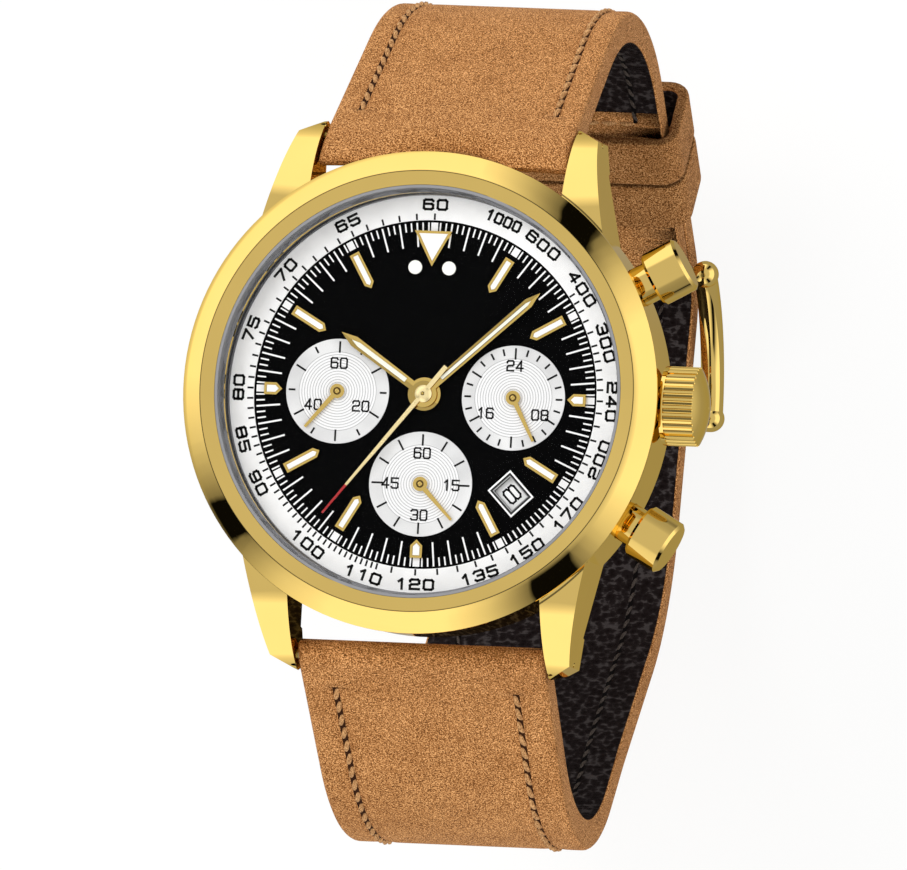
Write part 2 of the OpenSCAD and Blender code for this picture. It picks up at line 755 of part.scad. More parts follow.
module mid_case() {
  color(gold) difference() {
    union() {
      rotate_extrude() band_profile();
      for (mx = [0, 1], my = [0, 1]) mirror([mx, 0, 0]) mirror([0, my, 0]) difference() {
        lug();
        cylinder(r = bore_r + eps, h = 2 * case_h);
      }
    }
    for (my = [0, 1]) mirror([0, my, 0])
      rod_x([bar_y, bar_z], bar_tip_d + 2 * seat_gap, 2 * (lug_in + bar_hole_depth));
    radial(0) cylinder(r = crown_tube_d / 2 + seat_gap, h = 2 * band_r);
    for (a = [-1, 1]) radial(a * pusher_angle) cylinder(r = pusher_tube_d / 2 + seat_gap, h = 2 * band_r);
  }
}

module bezel() {
  crest = [bezel_bore_r + crest_w, z_bezel];
  rim = [bezel_r, case_h + bezel_rim];
  color(gold) rotate_extrude($fn = 180) difference() {
    union() {
      polygon([
        [bezel_bore_r, case_h], [bezel_r, case_h], rim, crest, [bezel_bore_r, z_bezel - bezel_drop]
      ]);
      intersection() {
        polygon([crest, rim, [bezel_r, z_bezel]]);
        translate(arc_centre(rim, crest, bezel_bow_r)) circle(bezel_bow_r, $fn = 180);
      }
    }
    translate([collar_r - collar_w / 2 - seat_gap, case_h - eps])
      square([collar_w + 2 * seat_gap, collar_h + seat_gap + eps]);
  }
}

module crystal() {
  r = crystal_d / 2;
  color("lightcyan", 0.3) rotate_extrude() polygon([
    [0, z_crystal], [r, z_crystal], [r, z_crystal + crystal_t - crystal_chamfer],
    [r - crystal_chamfer, z_crystal + crystal_t], [0, z_crystal + crystal_t]
  ]);
}

module crystal_gasket() {
  color(white) rotate_extrude() polygon([
    [opening_r, case_h], [gasket_out_r, case_h], [gasket_out_r, z_bezel - bezel_drop],
    [gasket_in_r, z_bezel - bezel_drop], [gasket_in_r, z_crystal], [opening_r, z_crystal]
  ]);
}

module rehaut() {
  z_step = z_ring + rehaut_h / 2;
  color(steel) rotate_extrude() polygon([
    [opening_r - rehaut_step, z_ring], [inner_r, z_ring], [inner_r, z_shelf], [opening_r, z_shelf],
    [opening_r, z_step], [opening_r - rehaut_step, z_step]
  ]);
}

module tachymeter_ring() {
  color(white) ring(ring_in_r, inner_r, z_dial_top, ring_t);
}

module at_subdials() {
  for (a = [90, 180, 270]) at_angle(a) translate([0, subdial_r]) children();
}

module date_rect(grow) {
  at_angle(date_angle) translate([0, date_r]) square([date_w + grow, date_l + grow], center = true);
}

module dial() {
  color(black) difference() {
    translate([0, 0, z_dial]) cylinder(r = inner_r, h = dial_t);
    translate([0, 0, z_dial - eps]) cylinder(r = dial_hole_r, h = 2 * dial_t);
    translate([0, 0, z_dial - eps]) linear_extrude(2 * dial_t) date_rect(-2 * date_rim);
    at_subdials() {
      translate([0, 0, z_subdial]) cylinder(d = subdial_d, h = dial_t);
      translate([0, 0, z_dial - eps]) cylinder(r = sub_hole_r, h = 2 * dial_t);
    }
  }
}

module subdial_discs() {
  color(steel) at_subdials() difference() {
    translate([0, 0, z_subdial]) cylinder(d = subdial_d - 2 * seat_gap, h = subdial_t);
    translate([0, 0, z_subdial - eps]) cylinder(r = sub_hole_r, h = 2 * subdial_t);
  }
}

// Outline of a marker whose outer end is at radius r and whose inner end is a point, drawn in by g
module baton(r, l, w, g) {
  polygon([
    [g - w / 2, r - g], [w / 2 - g, r - g], [w / 2 - g, r - l + w / 2 + 0.4 * g], [0, r - l + 1.4 * g],
    [g - w / 2, r - l + w / 2 + 0.4 * g]
  ]);
}

// Outline of the triangle at 12 o'clock, drawn in by g
module triangle(g) {
  side = norm([triangle_w / 2, triangle_l]);
  half = triangle_w / 2 - g * (side + triangle_w / 2) / triangle_l;
  apex = short_r - triangle_l + g * side / (triangle_w / 2);
  polygon([[-half, short_r - g], [half, short_r - g], [0, apex]]);
}

// Outline of the marker at hour h, drawn in by g
module marker(h, g) {
  at_angle(30 * h) {
    if (h == 0) triangle(g);
    else if (h % 3 == 0) baton(short_r, short_l, short_w, g);
    else baton(marker_r, marker_l, marker_w, g);
  }
}

module hour_markers() {
  color(gold) for (h = [0:11]) difference() {
    translate([0, 0, z_dial_top]) linear_extrude(marker_h) marker(h, 0);
    translate([0, 0, z_dial_top + marker_h / 2]) linear_extrude(marker_h) marker(h, marker_rim);
  }
}

module marker_lume() {
  color(white) {
    for (h = [0:11]) translate([0, 0, z_dial_top + marker_h / 2])
      linear_extrude(marker_h / 2 - seat_gap) marker(h, marker_rim + seat_gap);
    for (x = [-dot_x, dot_x]) translate([x, dot_y, z_dial_top]) cylinder(d = dot_d, h = marker_h / 2);
  }
}

module date_frame() {
  color(white) translate([0, 0, z_dial_top]) linear_extrude(marker_h / 2) difference() {
    date_rect(0);
    date_rect(-2 * date_rim);
  }
}

module case_back() {
  color(steel) difference() {
    rotate_extrude() polygon([
      [0, 0], [back_r - band_chamfer, 0], [back_r, band_chamfer], [back_r, back_t],
      [inner_r, back_t], [inner_r, z_spigot], [inner_r - spigot_w, z_spigot], [inner_r - spigot_w, back_t],
      [0, back_t]
    ]);
    ring(inner_r + seal_in - seat_gap, inner_r + seal_in + seal_w + seat_gap, back_t - seal_h, 2 * seal_h);
    for (i = [0:back_slots - 1]) rotate([0, 0, 360 * (i + 0.5) / back_slots])
      translate([back_r - key_slot[0], -key_slot[1] / 2, -eps])
        cube([2 * key_slot[0], key_slot[1], key_slot[2]]);
  }
}

module case_back_gasket() {
  color(black) ring(inner_r + seal_in, inner_r + seal_in + seal_w, back_t - seal_h, seal_h);
}

module movement_holder() {
  r = plate_r + seat_gap;
  color(white) difference() {
    rotate_extrude() polygon([
      [r - holder_lip_w, z_spigot], [inner_r, z_spigot], [inner_r, z_dial], [r, z_dial],
      [r, z_cover], [r - holder_lip_w, z_cover]
    ]);
    radial(0) cylinder(r = stem_r + rod_room, h = band_r);
    for (a = [-1, 1]) radial(a * pusher_angle) cylinder(r = rod_r + clip_w + rod_room, h = band_r);
  }
}

// A coil's bed, tangential at its own direction
module at_coils() {
  z = z_plate + coil_d / 2 + coil_room;
  for (a = coil_angles) at_angle(a) translate([0, coil_r, z]) rotate([0, 90, 0]) children();
}

module at_screws() {
  for (a = screw_angles) at_angle(a) translate([0, screw_r]) children();
}

module at_battery() {
  rotate([0, 0, battery_angle]) translate([battery_r, 0]) children();
}

module main_plate() {
  color(brass) {
    difference() {
      translate([0, 0, z_plate]) cylinder(d = plate_d, h = z_dial - z_plate);
      ring(date_in_d / 2 - run_gap, date_out_d / 2 + run_gap, z_dial - date_recess, 1);
      translate([0, 0, z_works]) cylinder(r = works_r, h = 2 * works_depth);
      translate([0, 0, z_works - arbor_depth - 2 * run_gap])
        cylinder(r = arbor_r + run_gap, h = 2 * arbor_depth);
      at_subdials() translate([0, 0, z_dial - sub_arbor_depth - 2 * run_gap])
        cylinder(r = sub_arbor_r + run_gap, h = 2 * sub_arbor_depth);
      at_battery() translate([0, 0, z_plate - eps])
        cylinder(d = battery_d + 2 * run_gap, h = battery_t - board_t + run_gap);
      at_coils()
        cube([coil_d + 2 * coil_room + eps, coil_d + 2 * coil_room, coil_l + 2 * coil_room], center = true);
      at_screws() translate([0, 0, z_plate - eps]) cylinder(r = screw_shank_r + seat_gap, h = screw_l);
      radial(0) {
        translate([0, 0, stem_in_x - pinion_room]) cylinder(r = stem_r + run_gap, h = plate_d);
        translate([0, 0, pinion_x - pinion_room])
          cylinder(r = pinion_r + pinion_room, h = pinion_w + 2 * pinion_room);
      }
      for (a = [-1, 1]) radial(a * pusher_angle) translate([0, 0, rod_in - pusher_travel - rod_room])
        cylinder(r = rod_r + rod_room, h = plate_d);
    }
    translate([0, works_d, z_works]) cylinder(r = post_r, h = post_h);
  }
}

module battery() {
  color(steel) at_battery() translate([0, 0, z_board]) cylinder(d = battery_d, h = battery_t);
}

// Flat round plate of the movement with its battery and screw holes
module movement_disc(z, t, hole) {
  difference() {
    translate([0, 0, z]) cylinder(d = plate_d, h = t);
    at_battery() translate([0, 0, z - eps]) cylinder(d = hole, h = 2 * t);
    at_screws() translate([0, 0, z - eps]) cylinder(r = screw_shank_r + seat_gap, h = 2 * t);
  }
}

module circuit_board() {
  color("darkgreen") movement_disc(z_board, board_t, battery_d + 2 * run_gap);
}

module movement_cover() {
  color(steel) movement_disc(z_cover, cover_t, battery_d / 2);
}

module motor_coils() {
  color("peru") at_coils() {
    cylinder(d = coil_d, h = coil_l - 2 * coil_core, center = true);
    for (s = [-1, 1]) translate([0, 0, s * (coil_l - coil_core) / 2])
      cube([coil_d + 2 * coil_room, coil_d + coil_room, coil_core], center = true);
  }
}

module movement_screws() {
  color(steel) at_screws() {
    difference() {
      translate([0, 0, z_cover - screw_head_h]) cylinder(r = screw_head_r, h = screw_head_h);
      translate([-screw_head_r, -screw_slot[0] / 2, z_cover - screw_head_h - eps])
        cube([2 * screw_head_r, screw_slot[0], screw_slot[1]]);
    }
    translate([0, 0, z_cover - eps]) cylinder(r = screw_shank_r, h = screw_l);
  }
}

module crown_tube() {
  color(gold) radial(0) difference() {
    translate([0, 0, bore_r + seat_gap])
      cylinder(d = crown_tube_d, h = crown_x + crown_recess - bore_r - tube_end_gap);
    cylinder(r = stem_r + tube_room, h = 2 * band_r);
  }
}

module pusher_tubes() {
  color(gold) for (a = [-1, 1]) radial(a * pusher_angle) difference() {
    translate([0, 0, bore_r + seat_gap]) cylinder(d = pusher_tube_d, h = tube_out_x - bore_r - seat_gap);
    cylinder(r = rod_r + run_gap, h = 2 * band_r);
    translate([0, 0, spring_seat_x]) cylinder(r = spring_r + wire_d / 2 + spring_room, h = band_r);
  }
}

module lug_spring_bars() {
  color(steel) for (my = [0, 1]) mirror([0, my, 0]) {
    rod_x([bar_y, bar_z], bar_d, 2 * (lug_in - bar_end));
    rod_x([bar_y, bar_z], bar_tip_d, 2 * (lug_in + bar_hole_depth - bar_tip_room));
  }
}

module crown() {
  color(gold) radial(0) translate([0, 0, crown_x]) difference() {
    rotate_extrude() intersection() {
      square([crown_r, crown_l]);
      translate([0, crown_l - crown_dome_r]) circle(crown_dome_r);
    }
    for (i = [0:crown_flutes - 1]) rotate([0, 0, 360 * i / crown_flutes])
      translate([crown_r + flute_r / 4, 0, crown_rim]) cylinder(r = flute_r, h = crown_l, $fn = 24);
    translate([0, 0, -eps]) cylinder(r = crown_tube_d / 2 + 2 * run_gap, h = crown_recess + eps);
    translate([0, 0, -eps]) cylinder(r = stem_r + seat_gap, h = crown_recess + stem_depth);
  }
}

module crown_stem() {
  color(steel) radial(0) {
    translate([0, 0, stem_in_x + square_l])
      cylinder(r = stem_r, h = crown_x + crown_recess + stem_depth - 2 * seat_gap - stem_in_x - square_l);
    translate([-stem_square / 2, -stem_square / 2, stem_in_x])
      cube([stem_square, stem_square, square_l + eps]);
  }
}

module crown_gasket() {
  color(black) radial(0) ring(stem_r + seat_gap, stem_r + tube_room - seat_gap, oring_x, oring_t);
}

module setting_pinion() {
  hole = stem_square + 2 * run_gap;
  color(steel) radial(0) translate([0, 0, pinion_x]) difference() {
    gear(pinion_teeth, pinion_module, pinion_w, 0);
    translate([-hole / 2, -hole / 2, -eps]) cube([hole, hole, 2 * pinion_w]);
  }
}

// Cap and rod of a pusher, along +Z from the case centre
module pusher() {
  r = pusher_d / 2;
  rotate_extrude() polygon([
    [0, rod_in], [rod_r, rod_in], [rod_r, clip_x - clip_t], [rod_r - clip_neck, clip_x - clip_t],
    [rod_r - clip_neck, clip_x], [rod_r, clip_x], [rod_r, cap_x + cap_recess],
    [pusher_tube_d / 2 + cap_room, cap_x + cap_recess], [pusher_tube_d / 2 + cap_room, cap_x],
    [r - cap_edge, cap_x], [r, cap_x + cap_edge], [r, pusher_r - cap_edge], [r - cap_edge, pusher_r],
    [0, pusher_r]
  ]);
}

module pusher_clip() {
  ring(rod_r - clip_neck + seat_gap, rod_r + clip_w, clip_x - clip_t + seat_gap, clip_t - 2 * seat_gap);
}

// Compression spring round the rod, between the tube's seat and the cap
module pusher_spring() {
  z0 = spring_seat_x + wire_d / 2 + seat_gap;
  z1 = cap_x + cap_recess - wire_d / 2 - seat_gap;
  steps = spring_turns * spring_step;
  skin([for (i = [0:steps]) let (a = 360 * i / spring_step, z = z0 + (z1 - z0) * i / steps)
    [for (j = [0:spring_sides - 1]) let (
      b = -360 * j / spring_sides,
      r = spring_r + wire_d / 2 * cos(b)
    ) [r * cos(a), r * sin(a), z + wire_d / 2 * sin(b)]]
  ]);
}

module start_pusher() {
  color(gold) radial(pusher_angle) pusher();
}

module start_spring() {
  color(steel) radial(pusher_angle) pusher_spring();
}

module start_clip() {
  color(steel) radial(pusher_angle) pusher_clip();
}

module reset_pusher() {
  color(gold) radial(-pusher_angle) pusher();
}

module reset_spring() {
  color(steel) radial(-pusher_angle) pusher_spring();
}

module reset_clip() {
  color(steel) radial(-pusher_angle) pusher_clip();
}

// Outline of the luminous slot of a hand of length l
module hand_slot(l, w, g) {
  s = slot_w / 2 - g;
  polygon([
    [-s, slot_from + g], [s, slot_from + g], [s, l - 2 * w - g], [0, l - 1.2 * w - 2 * g],
    [-s, l - 2 * w - g]
  ]);
}

// Pointed hand with a slot and a hub of diameter d, along +Y
module slotted_hand(l, w, d, bore, z) {
  translate([0, 0, z]) difference() {
    union() {
      cylinder(d = d, h = hand_t);
      linear_extrude(hand_t)
        polygon([[-0.4 * w, 0], [-w / 2, l - 1.5 * w], [0, l], [w / 2, l - 1.5 * w], [0.4 * w, 0]]);
    }
    translate([0, 0, -eps]) {
      linear_extrude(2 * hand_t) hand_slot(l, w, 0);
      cylinder(r = bore + eps, h = 2 * hand_t);
    }
  }
}

module hour_hand() {
  color(gold) at_angle(hour_angle) slotted_hand(hour_hand_l, hour_hand_w, hour_hub_d, hour_out, z_hour_hand);
}

module hour_hand_lume() {
  color(white) at_angle(hour_angle) translate([0, 0, z_hour_hand]) linear_extrude(hand_t)
    hand_slot(hour_hand_l, hour_hand_w, eps);
}

module hour_wheel() {
  z = z_works + hour_wheel_z;
  color(brass) difference() {
    union() {
      translate([0, 0, z]) gear(hour_teeth, hour_module, hour_wheel_h, 90);
      translate([0, 0, z]) cylinder(r = hour_out, h = z_hour_hand + hand_t - z);
    }
    translate([0, 0, z - eps]) cylinder(r = hour_in, h = case_h);
  }
}

module minute_hand() {
  color(gold) at_angle(minute_angle)
    slotted_hand(minute_hand_l, minute_hand_w, minute_hub_d, cannon_out, z_minute_hand);
}

module minute_hand_lume() {
  color(white) at_angle(minute_angle) translate([0, 0, z_minute_hand]) linear_extrude(hand_t)
    hand_slot(minute_hand_l, minute_hand_w, eps);
}

module cannon_pinion() {
  z = z_works + works_float;
  color(steel) difference() {
    union() {
      translate([0, 0, z]) gear(cannon_teeth, minute_module, cannon_pinion_h, 90);
      translate([0, 0, z]) cylinder(r = cannon_out, h = z_minute_hand + hand_t - z);
    }
    translate([0, 0, z - eps]) cylinder(r = cannon_in, h = case_h);
  }
}

module minute_wheel() {
  color(brass) translate([0, works_d, z_works + works_float]) difference() {
    union() {
      gear(minute_teeth, minute_module, minute_wheel_h, -90 + 180 / minute_teeth);
      translate([0, 0, minute_wheel_h - eps])
        gear(minute_pinion_teeth, hour_module, minute_pinion_h, -90 + 180 / minute_pinion_teeth);
    }
    translate([0, 0, -eps]) cylinder(r = post_r + run_gap, h = works_depth);
  }
}

module chrono_second_hand() {
  w = second_hand_w;
  color(gold) at_angle(second_angle) translate([0, 0, z_second_hand]) difference() {
    union() {
      linear_extrude(hand_t) polygon([
        [-w / 2, -second_tail_l], [-w / 2, 0], [-w / 5, second_hand_l], [w / 5, second_hand_l], [w / 2, 0],
        [w / 2, -second_tail_l]
      ]);
      rotate_extrude() intersection() {
        square([cap_d / 2, cap_h]);
        translate([0, cap_h - cap_dome_r]) circle(cap_dome_r);
      }
    }
    translate([0, 0, -eps]) cylinder(r = arbor_r + eps, h = hand_t + eps);
    translate([0, 0, cap_h - pin_hole_depth]) cylinder(r = pin_hole_r, h = cap_h, $fn = 32);
  }
}

module chrono_second_arbor() {
  z = z_works - arbor_depth;
  color(steel) translate([0, 0, z]) cylinder(r = arbor_r, h = z_second_hand + hand_t - eps - z);
}

// Small hand of a sub-dial at dial direction a, turned to angle t
module sub_hand(a, t) {
  w = sub_hand_w;
  at_angle(a) translate([0, subdial_r, z_sub_hand]) rotate([0, 0, a - t]) difference() {
    union() {
      linear_extrude(hand_t) polygon([[-w / 2, 0], [-w / 4, sub_hand_l], [w / 4, sub_hand_l], [w / 2, 0]]);
      cylinder(d = sub_hub_d, h = hand_t);
    }
    translate([0, 0, -eps]) cylinder(r = sub_arbor_r + eps, h = hand_t / 2);
  }
}

module sub_arbor(a) {
  z = z_dial - sub_arbor_depth;
  at_angle(a) translate([0, subdial_r, z])
    cylinder(r = sub_arbor_r, h = z_sub_hand + hand_t / 2 - 2 * eps - z);
}

module small_second_hand() {
  color(gold) sub_hand(180, small_second_angle);
}

module small_second_arbor() {
  color(steel) sub_arbor(180);
}

module day_hand() {
  color(gold) sub_hand(90, day_angle);
}

module day_arbor() {
  color(steel) sub_arbor(90);
}

module chrono_minute_hand() {
  color(gold) sub_hand(270, chrono_minute_angle);
}

module chrono_minute_arbor() {
  color(steel) sub_arbor(270);
}

module date_disc() {
  p = 360 / date_teeth;
  r = date_in_d / 2;
  color(white) translate([0, 0, z_dial - date_recess + date_float]) linear_extrude(date_t) difference() {
    circle(d = date_out_d);
    polygon([for (i = [0:date_teeth - 1]) each [
      r * unit((i - 0.15) * p), r * unit((i + 0.15) * p),
      (r + date_tooth_h) * unit((i + 0.25) * p), (r + date_tooth_h) * unit((i + 0.75) * p)
    ]]);
  }
}

// Rounded end of a strap half: thin rings that close round a bar
function nose(start, runs, s, sign) = [
  for (a = [12:13:77]) let (b = sign < 0 ? a : 89 - a, q = s + sign * half_t * cos(b))
    let (h = half_t * sin(b)) strap_ring(along(start, runs, q), strap_width(s), -h, h, 0.4 * h)
];

// Leather rings over a stretch of the strap
function leather(start, runs, from, to, lo) = [
  for (s = spaced(from, to, ring_step)) strap_ring(along(start, runs, s), strap_width(s), lo, half_t, edge_r)
];

function lining(start, runs, from, to) = [
  for (s = spaced(from, to, ring_step))
    strap_ring(along(start, runs, s), strap_width(s), -half_t, glue_n - glue_gap, lining_edge)
];

// Rounded tip of the tail, between inner face lo and outer face hi
function tip(lo, hi, e) = [
  for (a = [8:9:80]) let (s = lower_l - tip_l + tip_l * sin(a))
    strap_ring(along(lower_start, lower_runs, s), buckle_w * cos(a), lo, hi, e)
];

module strap_upper_leather() {
  from = upper_l - buckle_fold_l;
  color(tan_leather) difference() {
    skin(concat(
      nose(upper_start, upper_runs, 0, -1),
      leather(upper_start, upper_runs, 0, fold_l, -half_t),
      leather(upper_start, upper_runs, fold_l + eps, from - eps, glue_n),
      leather(upper_start, upper_runs, from, upper_l, -half_t),
      nose(upper_start, upper_runs, upper_l, 1)
    ));
    rod_x([bar_y, bar_z], bar_d + 2 * seat_gap, 2 * strap_w);
    rod_x(bar_at, buckle_bar_d + 2 * seat_gap, 2 * strap_w);
    on_strap(buckle_at) translate([-prong_eye_w / 2 - 2 * run_gap, -notch_l, -strap_t])
      cube([prong_eye_w + 4 * run_gap, 2 * notch_l, 2 * strap_t]);
  }
}

module strap_upper_lining() {
  color(dark_leather)
    skin(lining(upper_start, upper_runs, fold_l + 2 * glue_gap, upper_l - buckle_fold_l - 2 * glue_gap));
}

// The hole in use, drawn long by the prong, and the round holes beside it
module buckle_holes() {
  for (k = [-hole_count:hole_count]) {
    if (k != 0) on_strap(along(lower_start, lower_runs, prong_s + k * hole_pitch))
      cylinder(d = hole_d, h = 2 * strap_t, center = true, $fn = 32);
  }
  on_strap(along(lower_start, lower_runs, prong_s)) translate([0, prong_slot_shift, -strap_t]) {
    l = prong_slot_l - prong_slot_w;
    for (y = [-l / 2, l / 2]) translate([0, y]) cylinder(d = prong_slot_w, h = 2 * strap_t, $fn = 32);
    translate([-prong_slot_w / 2, -l / 2]) cube([prong_slot_w, l, 2 * strap_t]);
  }
}

module strap_lower_leather() {
  color(tan_leather) mirror([0, 1, 0]) difference() {
    skin(concat(
      nose(lower_start, lower_runs, 0, -1),
      leather(lower_start, lower_runs, 0, fold_l, -half_t),
      leather(lower_start, lower_runs, fold_l + eps, lower_l - tip_l, glue_n),
      tip(glue_n, half_t, edge_r)
    ));
    rod_x([bar_y, bar_z], bar_d + 2 * seat_gap, 2 * strap_w);
    buckle_holes();
  }
}

module strap_lower_lining() {
  color(dark_leather) mirror([0, 1, 0]) difference() {
    skin(concat(
      lining(lower_start, lower_runs, fold_l + 2 * glue_gap, lower_l - tip_l),
      tip(-half_t, glue_n - glue_gap, lining_edge)
    ));
    buckle_holes();
  }
}

// Loop round both strap halves at distance d from the buckle's bar, with gap g on its inner side
module keeper(d, g) {
  x = buckle_w / 2 + keeper_gap;
  lo = -half_t - g;
  hi = half_t + lap + keeper_gap;
  on_strap(along(upper_start, upper_runs, upper_l - d)) rotate([90, 0, 0])
    linear_extrude(keeper_w, center = true) difference() {
      rounded_rect(-x - keeper_t, x + keeper_t, lo - keeper_t, hi + keeper_t, keeper_corner);
      rounded_rect(-x, x, lo, hi, keeper_inner_corner);
    }
}

module fixed_keeper() {
  color(tan_leather) keeper(keeper_d, seat_gap);
}

module free_keeper() {
  color(tan_leather) keeper(keeper_d + keeper_w + keeper_space, keeper_gap);
}

module buckle_frame() {
  color(gold) difference() {
    union() {
      rod_x(heel_at, frame_d, 2 * frame_x);
      for (s = [-1, 1]) translate([s * frame_x, 0, 0]) {
        bow(heel_at, bar_at, frame_centre, arm_r);
        for (p = [heel_at, bar_at]) translate([0, p[0], p[1]]) sphere(frame_r);
      }
    }
    rod_x(bar_at, 2 * (bar_neck_r + run_gap), 2 * (frame_x + frame_r - bar_socket_end));
  }
}

module buckle_prong() {
  color(gold) difference() {
    union() {
      bow(prong_tip, bar_at, prong_centre, prong_r);
      rod_x(bar_at, 2 * eye_r, prong_eye_w);
    }
    rod_x(bar_at, buckle_bar_d + 2 * run_gap, 2 * prong_eye_w);
  }
}

module buckle_bar() {
  color(steel) {
    rod_x(bar_at, buckle_bar_d, 2 * (frame_in - bar_shoulder_gap));
    rod_x(bar_at, 2 * bar_neck_r, 2 * (frame_x + frame_r - bar_neck_end));
  }
}

mid_case();
bezel();
crystal();
crystal_gasket();
rehaut();
tachymeter_ring();
dial();
subdial_discs();
hour_markers();
marker_lume();
date_frame();
case_back();
case_back_gasket();
movement_holder();
main_plate();
battery();
circuit_board();
motor_coils();
movement_cover();
movement_screws();
crown_tube();
pusher_tubes();
lug_spring_bars();
crown();
crown_stem();
crown_gasket();
setting_pinion();
start_pusher();
start_spring();
start_clip();
reset_pusher();
reset_spring();
reset_clip();
hour_hand();
hour_hand_lume();
hour_wheel();
minute_hand();
minute_hand_lume();
cannon_pinion();
minute_wheel();
chrono_second_hand();
chrono_second_arbor();
small_second_hand();
small_second_arbor();
day_hand();
day_arbor();
chrono_minute_hand();
chrono_minute_arbor();
date_disc();
strap_upper_leather();
strap_upper_lining();
strap_lower_leather();
strap_lower_lining();
fixed_keeper();
free_keeper();
buckle_frame();
buckle_prong();
buckle_bar();
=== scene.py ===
"""Looks of the chronograph wristwatch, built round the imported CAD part.

Sizes are in millimetres until mm() scales them.
"""

import json
import math

import bmesh
import bpy
import numpy as np
from mathutils import Matrix, Vector


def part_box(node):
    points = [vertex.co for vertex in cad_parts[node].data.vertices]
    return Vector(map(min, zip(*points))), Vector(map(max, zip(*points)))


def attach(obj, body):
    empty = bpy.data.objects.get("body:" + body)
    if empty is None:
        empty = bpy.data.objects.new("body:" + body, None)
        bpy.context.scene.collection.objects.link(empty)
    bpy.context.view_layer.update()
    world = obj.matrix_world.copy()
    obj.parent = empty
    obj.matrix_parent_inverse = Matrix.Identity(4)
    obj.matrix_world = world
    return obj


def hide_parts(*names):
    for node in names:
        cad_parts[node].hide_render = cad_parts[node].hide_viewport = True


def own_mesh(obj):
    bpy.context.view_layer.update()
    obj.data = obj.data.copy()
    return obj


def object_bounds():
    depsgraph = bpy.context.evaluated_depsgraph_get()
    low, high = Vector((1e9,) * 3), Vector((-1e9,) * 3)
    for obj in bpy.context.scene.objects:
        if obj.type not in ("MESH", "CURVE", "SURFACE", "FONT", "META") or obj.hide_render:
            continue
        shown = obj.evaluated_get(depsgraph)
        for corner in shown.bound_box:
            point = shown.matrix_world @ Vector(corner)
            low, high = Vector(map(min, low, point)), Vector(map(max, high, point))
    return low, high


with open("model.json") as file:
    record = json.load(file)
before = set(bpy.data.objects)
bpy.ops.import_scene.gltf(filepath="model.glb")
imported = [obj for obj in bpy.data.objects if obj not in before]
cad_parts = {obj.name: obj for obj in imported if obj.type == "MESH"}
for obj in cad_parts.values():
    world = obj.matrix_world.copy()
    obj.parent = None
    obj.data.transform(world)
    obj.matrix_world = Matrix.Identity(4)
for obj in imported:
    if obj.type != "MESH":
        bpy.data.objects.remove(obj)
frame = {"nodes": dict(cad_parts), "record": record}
NODES = frame["nodes"]
CAD_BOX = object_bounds()
MM = 0.001


def mm(point):
    """A point in millimetres as metres."""
    return tuple(c * MM for c in point)


# Dial, from the solids
DIAL_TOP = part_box("dial")[1].z / MM
RING_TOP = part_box("tachymeter_ring")[1].z / MM
SUBDIAL_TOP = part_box("subdial_discs")[1].z / MM
DATE_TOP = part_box("date_disc")[1].z / MM
RING_IN = 15.2
SUBDIAL_OFFSET = 7.802
SUBDIAL_R = 4.598
DATE_R = 11.6
DATE_ANGLE = 136
DATE_FRAME, DATE_RIM = (2.65, 3.15), 0.4
DATE_SHOWN = 8
PRINT_LIFT = 0.012

# Case, as in the solids
BEZEL_R, CREST_R, GROOVE_Z = 21.0, 19.2, (8.5, 7.6)
# Half widths of the painted shade along the crest, in the grooves and at the joint
CREST_HALF, GROOVE_HALF, JOINT_HALF = 0.045, 0.07, 0.08
BAND_R, JOINT_R = BEZEL_R - 0.2, BEZEL_R + 0.05
STEM_Z, FLUTE_BOTTOM_R, FLUTE_END_X = 4.9, 3.3, 23.86
PUSHER_ANGLE = 29.5

# Strap, as in the solids
BAR_Y, BAR_Z = 22.6, 1.2
STRAP_W, BUCKLE_W, TAPER_L = 22.0, 20.4, 45.0
LEATHER_T, LINING_T, GLUE_GAP = 1.8, 0.9, 0.02
HALF_T = (LEATHER_T + LINING_T) / 2
GLUE_N = LINING_T - HALF_T
FOLD_L, BUCKLE_FOLD_L = 4.5, 20.5
TIP_L = 9.0
LAP_GAP, KEEPER_GAP = 0.25, 0.4
KEEPER_W, KEEPER_T, KEEPER_D, KEEPER_SPACE = 5.0, 1.0, 10.0, 0.5
HOLE_D, HOLE_PITCH, HOLE_COUNT = 1.8, 6.0, 3
PRONG_RUN, SLOT_L, SLOT_W, SLOT_SHIFT = 17.912, 7.2, 2.0, 0.5
NOTCH_L, NOTCH_W = 3.2, 2.8


def arc(radius, turn):
    """A bend as a run: its length and how far it turns."""
    return (radius * math.radians(turn), turn)


UPPER_START = (BAR_Y, BAR_Z, -56.0)
UPPER_RUNS = [(16.0, 0), arc(22, 34), arc(22, 42), (20, 0)]
LOWER_START = (BAR_Y, BAR_Z, -50.0)
LOWER_LEAD = [(13.3, 0), arc(20, 40), arc(16, 40), (20.5, 0), arc(22, 40)]
TAIL_BEND_R, TAIL_L = 6.0, 19.0


def run(state, length, turn):
    """State [y, z, heading] after a run that turns inwards by turn degrees."""
    y, z, h = state
    a, b = math.radians(h), math.radians(h - turn)
    if turn == 0:
        return (y + length * math.cos(a), z + length * math.sin(a), h)
    r = length / math.radians(turn)
    return (y + r * (math.sin(a) - math.sin(b)), z + r * (math.cos(b) - math.cos(a)), h - turn)


def along(start, runs, s):
    """State at distance s along a list of runs."""
    state = start
    for i, (length, turn) in enumerate(runs):
        if s <= length or i == len(runs) - 1:
            return run(state, s, turn * s / length)
        state = run(state, length, turn)
        s -= length


def length_of(runs):
    return sum(r[0] for r in runs)


def unit(degrees):
    """Direction at an angle from the first axis."""
    return Vector((math.cos(math.radians(degrees)), math.sin(math.radians(degrees))))


def dial_way(degrees):
    """Direction on the dial, clockwise from 12 o'clock."""
    return Vector((math.sin(math.radians(degrees)), math.cos(math.radians(degrees))))


